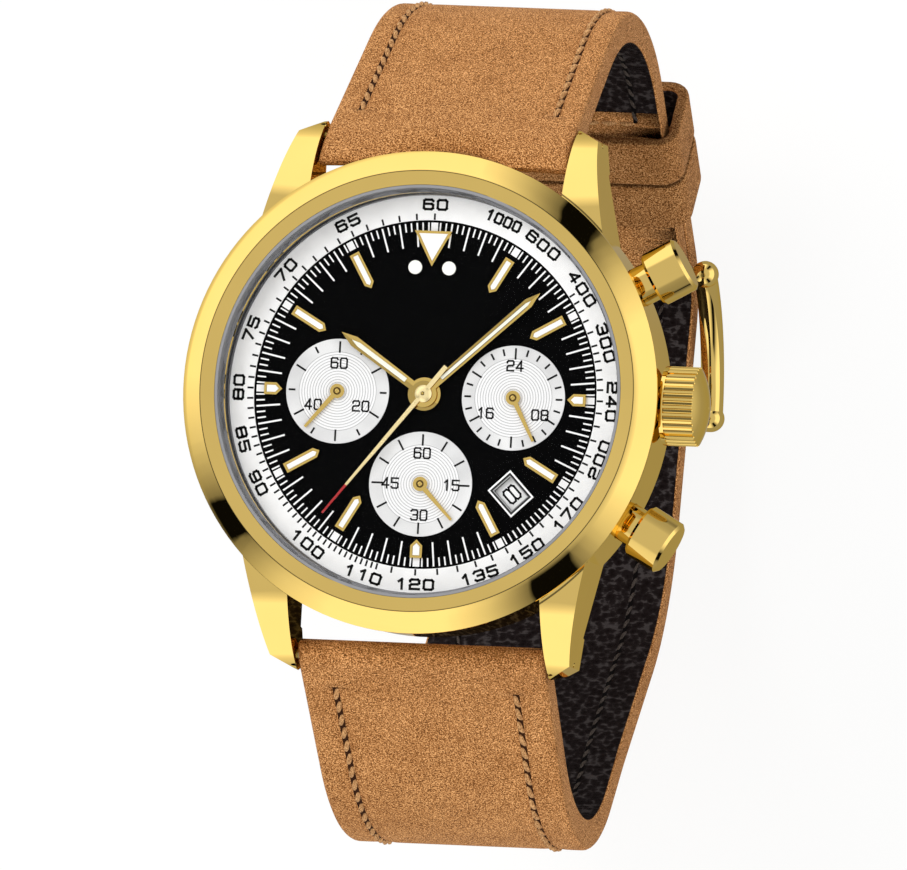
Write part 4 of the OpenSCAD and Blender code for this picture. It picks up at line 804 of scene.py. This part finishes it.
def sweep(start, runs, stations, rings, side):
    """Closed mesh over rings placed along the strap."""
    verts, m = [], len(rings[0])
    for s, ring in zip(stations, rings):
        for x, n in ring:
            there = s * (1 + end_reach(x) / HALF_T) if s < 0 < side else s
            verts.append(on_strap(along(start, runs, there), x, n, side))
    faces = tube_faces(len(rings), m)
    if side > 0:
        faces = [(a, d, c, b) for a, b, c, d in faces]
    first, last = tuple(range(m)), tuple(range((len(rings) - 1) * m, len(rings) * m))
    faces += [first[::-1], last] if side < 0 else [first, last[::-1]]
    return verts, faces


def layer(start, runs, spans, side):
    """Mesh over rows along the strap: a distance, then what rounded_ring takes."""
    return sweep(start, runs, [row[0] for row in spans], [rounded_ring(*row[1:]) for row in spans], side)


STEP = 0.7
EDGE_R, LOW_EDGE_R = 0.6, 0.2


def stretch(a, b):
    """Distances from a to b, no more than a step apart."""
    return np.linspace(a, b, max(2, int(math.ceil((b - a) / STEP)) + 1))


def nose(s, sign):
    """Rows that close a strap's end round its bar."""
    rows = []
    for a in range(6, 90, 7):
        b = math.radians(a if sign < 0 else 90 - a)
        thick = HALF_T * math.sin(b)
        at = s + sign * HALF_T * math.cos(b)
        rows.append((at, strap_width(s), -thick, thick, 0.5 * thick, 0.4 * thick, 0.0))
    return rows


def leather_rows(a, b, lo, groove):
    """Rows of the outer leather, whose edges are turned down over the lining."""
    return [(s, strap_width(s), lo, HALF_T, EDGE_R, LOW_EDGE_R, groove, -HALF_T) for s in stretch(a, b)]


def tip_rows(lo, hi, top_r, edge_lo, inset=0.0):
    """Rows of the rounded tip of the 6 o'clock half."""
    rows = []
    for a in np.linspace(2, 86, 30):
        s = LOWER_L - TIP_L + (TIP_L - inset / 2) * math.sin(math.radians(a))
        rows.append((s, BUCKLE_W * math.cos(math.radians(a)) - inset, lo, hi, top_r, 0.12, 0.0, edge_lo))
    return rows


STITCH_FROM = 2.9
PLAIN_TO, GROOVE_FROM = STITCH_FROM - 0.3, STITCH_FROM - 0.29
JUMP = 0.01
upper_rows = (
    nose(0, -1)
    + leather_rows(0, PLAIN_TO, -HALF_T, 0.0)
    + leather_rows(GROOVE_FROM, FOLD_L, -HALF_T, UPPER_STITCH_IN)
    + leather_rows(FOLD_L + JUMP, UPPER_L - BUCKLE_FOLD_L - JUMP, GLUE_N, UPPER_STITCH_IN)
    + leather_rows(UPPER_L - BUCKLE_FOLD_L, UPPER_L, -HALF_T, 0.0)
    + nose(UPPER_L, 1)
)
lower_rows = (
    nose(0, -1)
    + leather_rows(0, PLAIN_TO, -HALF_T, 0.0)
    + leather_rows(GROOVE_FROM, FOLD_L, -HALF_T, LOWER_STITCH_IN)
    + leather_rows(FOLD_L + JUMP, LOWER_L - TIP_L, GLUE_N, LOWER_STITCH_IN)
    + tip_rows(GLUE_N, HALF_T, EDGE_R, -HALF_T)
)
LEATHER, LINING = MATERIALS["tan_leather"], MATERIALS["lining_leather"]
LINING_GAP = 0.04
LINING_INSET = 2 * TURNED_W + LINING_GAP
LINING_TOP, LINING_TOP_R, LINING_LOW_R = GLUE_N - GLUE_GAP, 0.05, 0.1


def lining_rows(a, b):
    """Rows of the lining, between the leather's turned edges."""
    return [
        (s, strap_width(s) - LINING_INSET, -HALF_T, LINING_TOP, LINING_TOP_R, LINING_LOW_R, 0.0)
        for s in stretch(a, b)
    ]


def prism(state, outline, side):
    """Closed cutter through the strap: an outline across and along it at a state of its path."""
    verts, m = [], len(outline)
    h = math.radians(state[2])
    for n in (-2 * HALF_T, 2 * HALF_T):
        for x, y in outline:
            there = (state[0] + y * math.cos(h), state[1] + y * math.sin(h), state[2])
            verts.append(on_strap(there, x, n, side))
    faces = [tuple(range(m)), tuple(range(m, 2 * m))[::-1]]
    faces += [(j, (j + 1) % m, m + (j + 1) % m, m + j) for j in range(m)]
    return verts, faces


def stadium(length, width, shift=0.0):
    """Outline of a slot along the strap; a round hole where length and width are equal."""
    half, r = (length - width) / 2, width / 2
    outline = []
    for y0, a0 in ((shift + half, 0), (shift - half, 180)):
        for a in np.linspace(a0, a0 + 180, 17)[: 16 if length == width else 17]:
            outline.append((r * math.cos(math.radians(a)), y0 + r * math.sin(math.radians(a))))
    return outline


def cut(obj, cutters):
    """Takes the cutters out of a piece."""
    for verts, faces in cutters:
        mesh = bpy.data.meshes.new("cutter")
        mesh.from_pydata([mm(v) for v in verts], [], faces)
        tool = bmesh.new()
        tool.from_mesh(mesh)
        bmesh.ops.recalc_face_normals(tool, faces=tool.faces)
        tool.to_mesh(mesh)
        tool.free()
        knife = bpy.data.objects.new("cutter", mesh)
        bpy.context.scene.collection.objects.link(knife)
        modifier = obj.modifiers.new("hole", "BOOLEAN")
        modifier.operation, modifier.solver, modifier.object = "DIFFERENCE", "EXACT", knife
        bpy.context.view_layer.update()
        shaped = bpy.data.meshes.new_from_object(obj.evaluated_get(bpy.context.evaluated_depsgraph_get()))
        obj.modifiers.clear()
        obj.data = shaped
        bpy.data.objects.remove(knife)


PRONG_S = length_of(LOWER_LEAD) + PRONG_RUN
BUCKLE_HOLES = [
    prism(along(LOWER_START, LOWER_RUNS, PRONG_S + k * HOLE_PITCH), stadium(HOLE_D, HOLE_D), -1)
    for k in range(-HOLE_COUNT, HOLE_COUNT + 1) if k
] + [prism(along(LOWER_START, LOWER_RUNS, PRONG_S), stadium(SLOT_L, SLOT_W, SLOT_SHIFT), -1)]
NOTCH = [(-NOTCH_W / 2, -NOTCH_L), (NOTCH_W / 2, -NOTCH_L), (NOTCH_W / 2, NOTCH_L), (-NOTCH_W / 2, NOTCH_L)]
PRONG_NOTCH = [prism(BUCKLE_AT, NOTCH, 1)]

upper_leather = piece(
    "upper_leather", *layer(UPPER_START, UPPER_RUNS, upper_rows, 1), LEATHER, slot="tan_leather",
    replaces=["strap_upper_leather"],
)
lower_leather = piece(
    "lower_leather", *layer(LOWER_START, LOWER_RUNS, lower_rows, -1), LEATHER, slot="tan_leather",
    replaces=["strap_lower_leather"],
)
upper_lining_rows = lining_rows(FOLD_L + LINING_GAP, UPPER_L - BUCKLE_FOLD_L - LINING_GAP)
lower_lining_rows = lining_rows(FOLD_L + LINING_GAP, LOWER_L - TIP_L)
lower_lining_rows += tip_rows(-HALF_T, LINING_TOP, LINING_TOP_R, -HALF_T, LINING_INSET)
piece(
    "upper_lining", *layer(UPPER_START, UPPER_RUNS, upper_lining_rows, 1), LINING, slot="lining_leather",
    replaces=["strap_upper_lining"],
)
lower_lining = piece(
    "lower_lining", *layer(LOWER_START, LOWER_RUNS, lower_lining_rows, -1), LINING, slot="lining_leather",
    replaces=["strap_lower_lining"],
)
cut(upper_leather, PRONG_NOTCH)
for strap in (lower_leather, lower_lining):
    cut(strap, BUCKLE_HOLES)
# Faces turned sideways take darker copies of the nubuck: painted shade on the cut edges of straps and
# keepers
CUT_EDGE_SHADE, STRAP_EDGE_SHADE = nubuck("cut_edge", 0.45), nubuck("strap_edge", 0.8)
SIDEWAYS = 0.8
for strap in (upper_leather, lower_leather):
    strap.data.materials.append(STRAP_EDGE_SHADE)
    for face in strap.data.polygons:
        face.material_index = int(abs(face.normal.x) > SIDEWAYS)


# Stitching


class Stitches:
    """Thread stitches gathered into one piece, over a dark strip of painted shade beneath them."""

    LENGTH, PITCH = 1.32, 1.62
    SIDES, PARTS = 7, 7
    SINK, SLANT = 0.10, 0.17
    # Size of the dark strip of painted shade under each row
    BED_SPREAD, BED_LIFT, BED_BEFORE, BED_SHORT = 1.15, 0.04, 0.2, 0.1

    def __init__(self, side, radius, rise):
        self.side, self.radius, self.rise = side, radius, rise
        self.verts, self.faces, self.bed_verts, self.bed_faces = [], [], [], []

    def tube(self, points, across):
        """A tapering thread through points, with rings square to its run."""
        base = len(self.verts)
        pts = [Vector(p) for p in points]
        for i, p in enumerate(pts):
            t = (pts[min(i + 1, len(pts) - 1)] - pts[max(i - 1, 0)]).normalized()
            u = (Vector(across) - t * t.dot(Vector(across))).normalized()
            v = t.cross(u)
            share = math.sin(math.pi * (i + 0.45) / (len(pts) - 0.1))
            r = self.radius * (0.55 + 0.45 * share)
            for j in range(self.SIDES):
                a = 2 * math.pi * j / self.SIDES
                self.verts.append(tuple(p + (u * math.cos(a) + v * math.sin(a)) * r))
        m = self.SIDES
        self.faces += tube_faces(len(pts), m, base)
        self.faces.append(tuple(range(base, base + m))[::-1])
        end = base + (len(pts) - 1) * m
        self.faces.append(tuple(range(end, end + m)))

    def row(self, start, runs, a, b, x_of, n, out):
        """Stitches from a to b at x_of(s); out is 1 on the outer face and -1 on the lining."""
        count = int((b - a) // self.PITCH)
        base = len(self.bed_verts)
        # A dark strip under the whole row: painted shade round the stitches
        for i, s in enumerate(stretch(a - self.BED_BEFORE, a + count * self.PITCH - self.BED_SHORT)):
            for shift in (-self.BED_SPREAD * self.radius, self.BED_SPREAD * self.radius):
                state = along(start, runs, s)
                self.bed_verts.append(on_strap(state, x_of(s) + shift, n + out * self.BED_LIFT, self.side))
            if i:
                self.bed_faces.append((base + 2 * i - 2, base + 2 * i - 1, base + 2 * i + 1, base + 2 * i))
        for k in range(count):
            s0 = a + k * self.PITCH
            slant = self.SLANT * (1 if x_of(s0) > 0 else -1)
            points = []
            for i in range(self.PARTS):
                f = i / (self.PARTS - 1)
                s = s0 + f * self.LENGTH
                x, height = x_of(s) + slant * (f - 0.5) * 2, self.rise * math.sin(math.pi * f) - self.SINK
                points.append(on_strap(along(start, runs, s), x, n + out * height, self.side))
            self.tube(points, (1, 0, 0))

    def across(self, start, runs, s, half, n, out):
        """Stitches at s across the strap, from one side to the other."""
        count = int(2 * half // self.PITCH)
        for k in range(count):
            x0 = (k - count / 2) * self.PITCH
            points = []
            for i in range(self.PARTS):
                f = i / (self.PARTS - 1)
                x, height = x0 + f * self.LENGTH, self.rise * math.sin(math.pi * f) - self.SINK
                points.append(on_strap(along(start, runs, s), x, n + out * height, self.side))
            self.tube(points, (0, 0, 1))

    def make(self, name, material, shade_material):
        piece(name, self.verts, self.faces, material)
        if self.bed_faces:
            piece(name + "_channel", self.bed_verts, self.bed_faces, shade_material, smooth=False)


TAN_THREAD = thread("tan_thread", (0.20, 0.08, 0.025), (0.78, 0.44, 0.19))
DARK_THREAD = thread("dark_thread", (0.012, 0.009, 0.009), (0.10, 0.08, 0.075))
# Dark strips under the stitches: painted shade
STITCH_SHADE = lacquer("stitch_channel", (0.035, 0.012, 0.004), 0.9, 0.1)
LINING_STITCH_SHADE = lacquer("dark_channel", (0.003, 0.002, 0.002), 0.9, 0.1)
OUTER_THREAD, INNER_THREAD, SEAM_THREAD = (0.24, 0.27), (0.15, 0.17), (0.2, 0.18)  # radius and rise
UPPER_STITCH_END, STITCH_MARGIN = 18.5, 1.0
SEAM_SHIFT, SEAM_MARGIN = 1.3, 1.5
for name, start, runs, end, side, inset in (
    ("upper", UPPER_START, UPPER_RUNS, UPPER_L - UPPER_STITCH_END, 1, UPPER_STITCH_IN),
    ("lower", LOWER_START, LOWER_RUNS, LOWER_L - TIP_L - STITCH_MARGIN, -1, LOWER_STITCH_IN),
):
    outer, inner = Stitches(side, *OUTER_THREAD), Stitches(side, *INNER_THREAD)
    for sign in (-1, 1):
        def x_of(s, sign=sign, inset=inset):
            return sign * (strap_width(s) / 2 - inset)
        outer.row(start, runs, STITCH_FROM, end, x_of, HALF_T - GROOVE_DEPTH, 1)
        inner.row(start, runs, FOLD_L + STITCH_MARGIN, end, x_of, -HALF_T, -1)
    outer.make(name + "_stitches", TAN_THREAD, STITCH_SHADE)
    inner.make(name + "_lining_stitches", DARK_THREAD, LINING_STITCH_SHADE)
fold_seam = Stitches(1, *SEAM_THREAD)
seam_at, seam_half = UPPER_L - BUCKLE_FOLD_L + SEAM_SHIFT, BUCKLE_W / 2 - SEAM_MARGIN
fold_seam.across(UPPER_START, UPPER_RUNS, seam_at, seam_half, -HALF_T, -1)
fold_seam.make("fold_seam", TAN_THREAD, STITCH_SHADE)


# Keepers

KEEPER_LEATHER = nubuck("keeper_leather", 0.72)
KEEPER_CORNER_R, KEEPER_EDGE_R, SEWN_GAP = 0.9, 0.35, 0.03


def keeper(name, distance, gap, body, node):
    """Soft leather loop with rounded edges round both strap halves."""
    state = along(UPPER_START, UPPER_RUNS, UPPER_L - distance)
    h = math.radians(state[2])
    x = BUCKLE_W / 2 + KEEPER_GAP
    lo, hi = -HALF_T - gap, HALF_T + 2 * HALF_T + LAP_GAP + KEEPER_GAP
    corner, path = KEEPER_CORNER_R, []
    for cx, cn, a0 in ((x, hi, 0), (-x, hi, 90), (-x, lo, 180), (x, lo, 270)):
        centre = (cx - math.copysign(corner, cx), cn - math.copysign(corner, cn - (lo + hi) / 2))
        for a in np.linspace(a0, a0 + 90, 7):
            path.append((centre, math.radians(a)))
    loop = []
    for i, (c, a) in enumerate(path):
        loop.append((c, a))
        nxt = path[(i + 1) % len(path)]
        if nxt[0] != c:
            for f in np.linspace(0, 1, 9)[1:-1]:
                loop.append(((c[0] + (nxt[0][0] - c[0]) * f, c[1] + (nxt[0][1] - c[1]) * f), a))
    section = []
    half, t, r = KEEPER_W / 2, KEEPER_T, KEEPER_EDGE_R
    for cy, cr, a0 in ((half - r, t - r, 0), (r - half, t - r, 90), (r - half, r, 180), (half - r, r, 270)):
        for a in np.linspace(a0, a0 + 90, 5):
            section.append((cy + r * math.cos(math.radians(a)), cr + r * math.sin(math.radians(a))))
    verts, faces, m = [], [], len(section)
    for c, a in loop:
        for along_y, out in section:
            px, pn = c[0] + (corner + out) * math.cos(a), c[1] + (corner + out) * math.sin(a)
            y = state[0] + along_y * math.cos(h) - pn * math.sin(h)
            verts.append((px, y, state[1] + along_y * math.sin(h) + pn * math.cos(h)))
    edges = []
    for i in range(len(loop)):
        for j in range(m):
            a, b = i * m + j, i * m + (j + 1) % m
            c, d = ((i + 1) % len(loop)) * m + (j + 1) % m, ((i + 1) % len(loop)) * m + j
            faces.append((a, b, c, d))
            (y0, out0), (y1, out1) = section[j], section[(j + 1) % m]
            inner = max(out0, out1) < 0.01
            edges.append(2 if inner else int(min(abs(y0), abs(y1)) > half - 0.6 * r))
    obj = piece(name, verts, faces, KEEPER_LEATHER, body, "tan_leather", [node])
    # The keeper's edge faces take the darker nubuck: painted shade
    obj.data.materials.append(CUT_EDGE_SHADE)
    obj.data.materials.append(LINING)
    obj.data.polygons.foreach_set("material_index", edges)


keeper("sewn_keeper", KEEPER_D, SEWN_GAP, "case", "fixed_keeper")
keeper("sliding_keeper", KEEPER_D + KEEPER_W + KEEPER_SPACE, KEEPER_GAP, "free_keeper", "free_keeper")

# Camera, fitted to the photograph's frame of 907 x 870 pixels
AIM = Vector(mm((2.643, -3.403, 6.688)))
BACK = Vector((0.2053, -0.0735, 0.9759)).normalized()
RIGHT = Vector((0.97792, 0.05504, -0.20158)).normalized()
CAMERA_DISTANCE = 3.2
VIEW_WIDTH, SENSOR_WIDTH = 0.07873, 36
camera = bpy.data.objects.new("camera", bpy.data.cameras.new("camera"))
bpy.context.scene.collection.objects.link(camera)
up = BACK.cross(RIGHT)
camera.matrix_world = Matrix(
    [(RIGHT[i], up[i], BACK[i], (AIM + BACK * CAMERA_DISTANCE)[i]) for i in range(3)] + [(0, 0, 0, 1)]
)
camera.data.sensor_width = SENSOR_WIDTH
camera.data.lens = SENSOR_WIDTH * CAMERA_DISTANCE / VIEW_WIDTH
camera.data.clip_start, camera.data.clip_end = 0.05, 40
bpy.context.scene.camera = camera

# Studio, as mirrors see it: grey panels shaded towards three gaps, in degrees clockwise from 12 o'clock
GAPS = ((23, 35), (140, 155), (240, 249))
BLACK = (0.004,) * 3
SHADES = tuple((away, (grey,) * 3) for away, grey in ((0.4, 0.2), (7, 0.5), (14, 0.84), (27, 1.28)))
CEILING = (0.66,) * 3
# Grey that mirrors see on the floor near the watch: painted shade under it
FLOOR_SHADE_NEAR = (0.4,) * 3
NEAR_R, FAR_R = 110, 330
CEILING_FROM, CEILING_FULL = 0.80, 0.86
SKY = (0.95,) * 3
SEEN_WHITE = 0.86


def panels(nodes, x, y):
    """Light of the studio in the direction of x and y, as mirrors see it."""
    turns = nodes.math("MULTIPLY", nodes.math("ARCTAN2", x, y), 0.5 / math.pi)
    share = nodes.math("FLOORED_MODULO", turns, 1.0)
    stops = []
    for start, end in GAPS:
        stops += [(start - away, shade) for away, shade in SHADES[::-1]] + [(start, BLACK), (end, BLACK)]
        stops += [(end + away, shade) for away, shade in SHADES]
    return nodes.ramp(share, *((max(angle, 0) / 360, shade) for angle, shade in stops))


# Floor: white paper that shows shadows, and the panels to mirrors
FLOOR_GAP, REACH = 0.0002, 3.0
FLOOR_Z = CAD_BOX[0].z - FLOOR_GAP
floor_mesh = bpy.data.meshes.new("floor")
corners = [(x * REACH, y * REACH, FLOOR_Z) for x, y in ((-1, -1), (1, -1), (1, 1), (-1, 1))]
floor_mesh.from_pydata(corners, [], [(0, 1, 2, 3)])
floor = bpy.data.objects.new("floor", floor_mesh)
bpy.context.scene.collection.objects.link(floor)
paper = Shader("white_paper", Roughness=0.9)
tones = ((0.3, (0.90, 0.90, 0.895)), (0.7, (0.93, 0.93, 0.925)))
paper.set("Base Color", paper.ramp(paper.noise(0.02, 2.0), *tones))
rays = paper.node("LightPath").outputs
white = paper.node("Emission", {"Color": (1, 1, 0.995, 1), "Strength": 1.0}).outputs[0]
seen = paper.math("MAXIMUM", rays["Is Camera Ray"], rays["Is Transmission Ray"])
share = paper.math("MULTIPLY", seen, SEEN_WHITE)
plain = paper.node("MixShader", {0: share, 1: paper.bsdf.outputs[0], 2: white}).outputs[0]
spot = paper.node("SeparateXYZ", {0: paper.coords()}).outputs
reach = paper.node("VectorMath", {0: paper.coords()}, operation="LENGTH").outputs["Value"]
# Mirrors see the floor darker near the watch: painted shade
far = paper.grey(reach, 0, 1, NEAR_R, FAR_R)
glow = paper.mix(far, FLOOR_SHADE_NEAR, panels(paper, spot["X"], spot["Y"]))
mirrored = paper.node("Emission", {"Color": glow, "Strength": 1.0}).outputs[0]
blend = paper.node("MixShader", {0: rays["Is Glossy Ray"], 1: plain, 2: mirrored}).outputs[0]
paper.tree.links.new(blend, paper.tree.nodes["Material Output"].inputs["Surface"])
floor_mesh.materials.append(paper.material)

# World: the panels low down and a ceiling above for mirrors, even light for the rest
world = bpy.data.worlds.new("studio")
bpy.context.scene.world = world
world.use_nodes = True
studio = Tree(world.node_tree)
way = studio.node("SeparateXYZ", {0: studio.node("TexCoord").outputs["Generated"]}).outputs
height = studio.grey(way["Z"], 0, 1, -1, 1)
above = studio.ramp(height, (CEILING_FROM, (0, 0, 0)), (CEILING_FULL, (1, 1, 1)))
shiny = studio.mix(above, panels(studio, way["X"], way["Y"]), CEILING)
paths = studio.node("LightPath").outputs
light = studio.mix(paths["Is Glossy Ray"], SKY, shiny)
sky = studio.node("Background", {"Color": light, "Strength": 1.0})
backdrop = studio.node("Background", {"Color": (1, 1, 1, 1), "Strength": 1.0})
pick = studio.node("MixShader", {0: paths["Is Camera Ray"], 1: sky.outputs[0], 2: backdrop.outputs[0]})
studio.tree.links.new(pick.outputs[0], studio.tree.nodes["World Output"].inputs["Surface"])


def lamp(name, position, size, watts):
    """Soft lamp that points at the origin and that mirrors don't show."""
    data = bpy.data.lights.new(name, "AREA")
    data.shape, data.size, data.size_y, data.energy = "RECTANGLE", size[0], size[1], watts
    obj = bpy.data.objects.new(name, data)
    bpy.context.scene.collection.objects.link(obj)
    obj.location = position
    obj.rotation_mode = "QUATERNION"
    obj.rotation_quaternion = (-Vector(position)).to_track_quat("-Z", "Y")
    obj.visible_glossy = False


lamp("key", (-0.35, 0.30, 0.75), (0.5, 0.5), 3.2)
lamp("fill", (0.5, -0.45, 0.6), (0.5, 0.35), 1.2)

bpy.context.scene.view_settings.view_transform = "Standard"
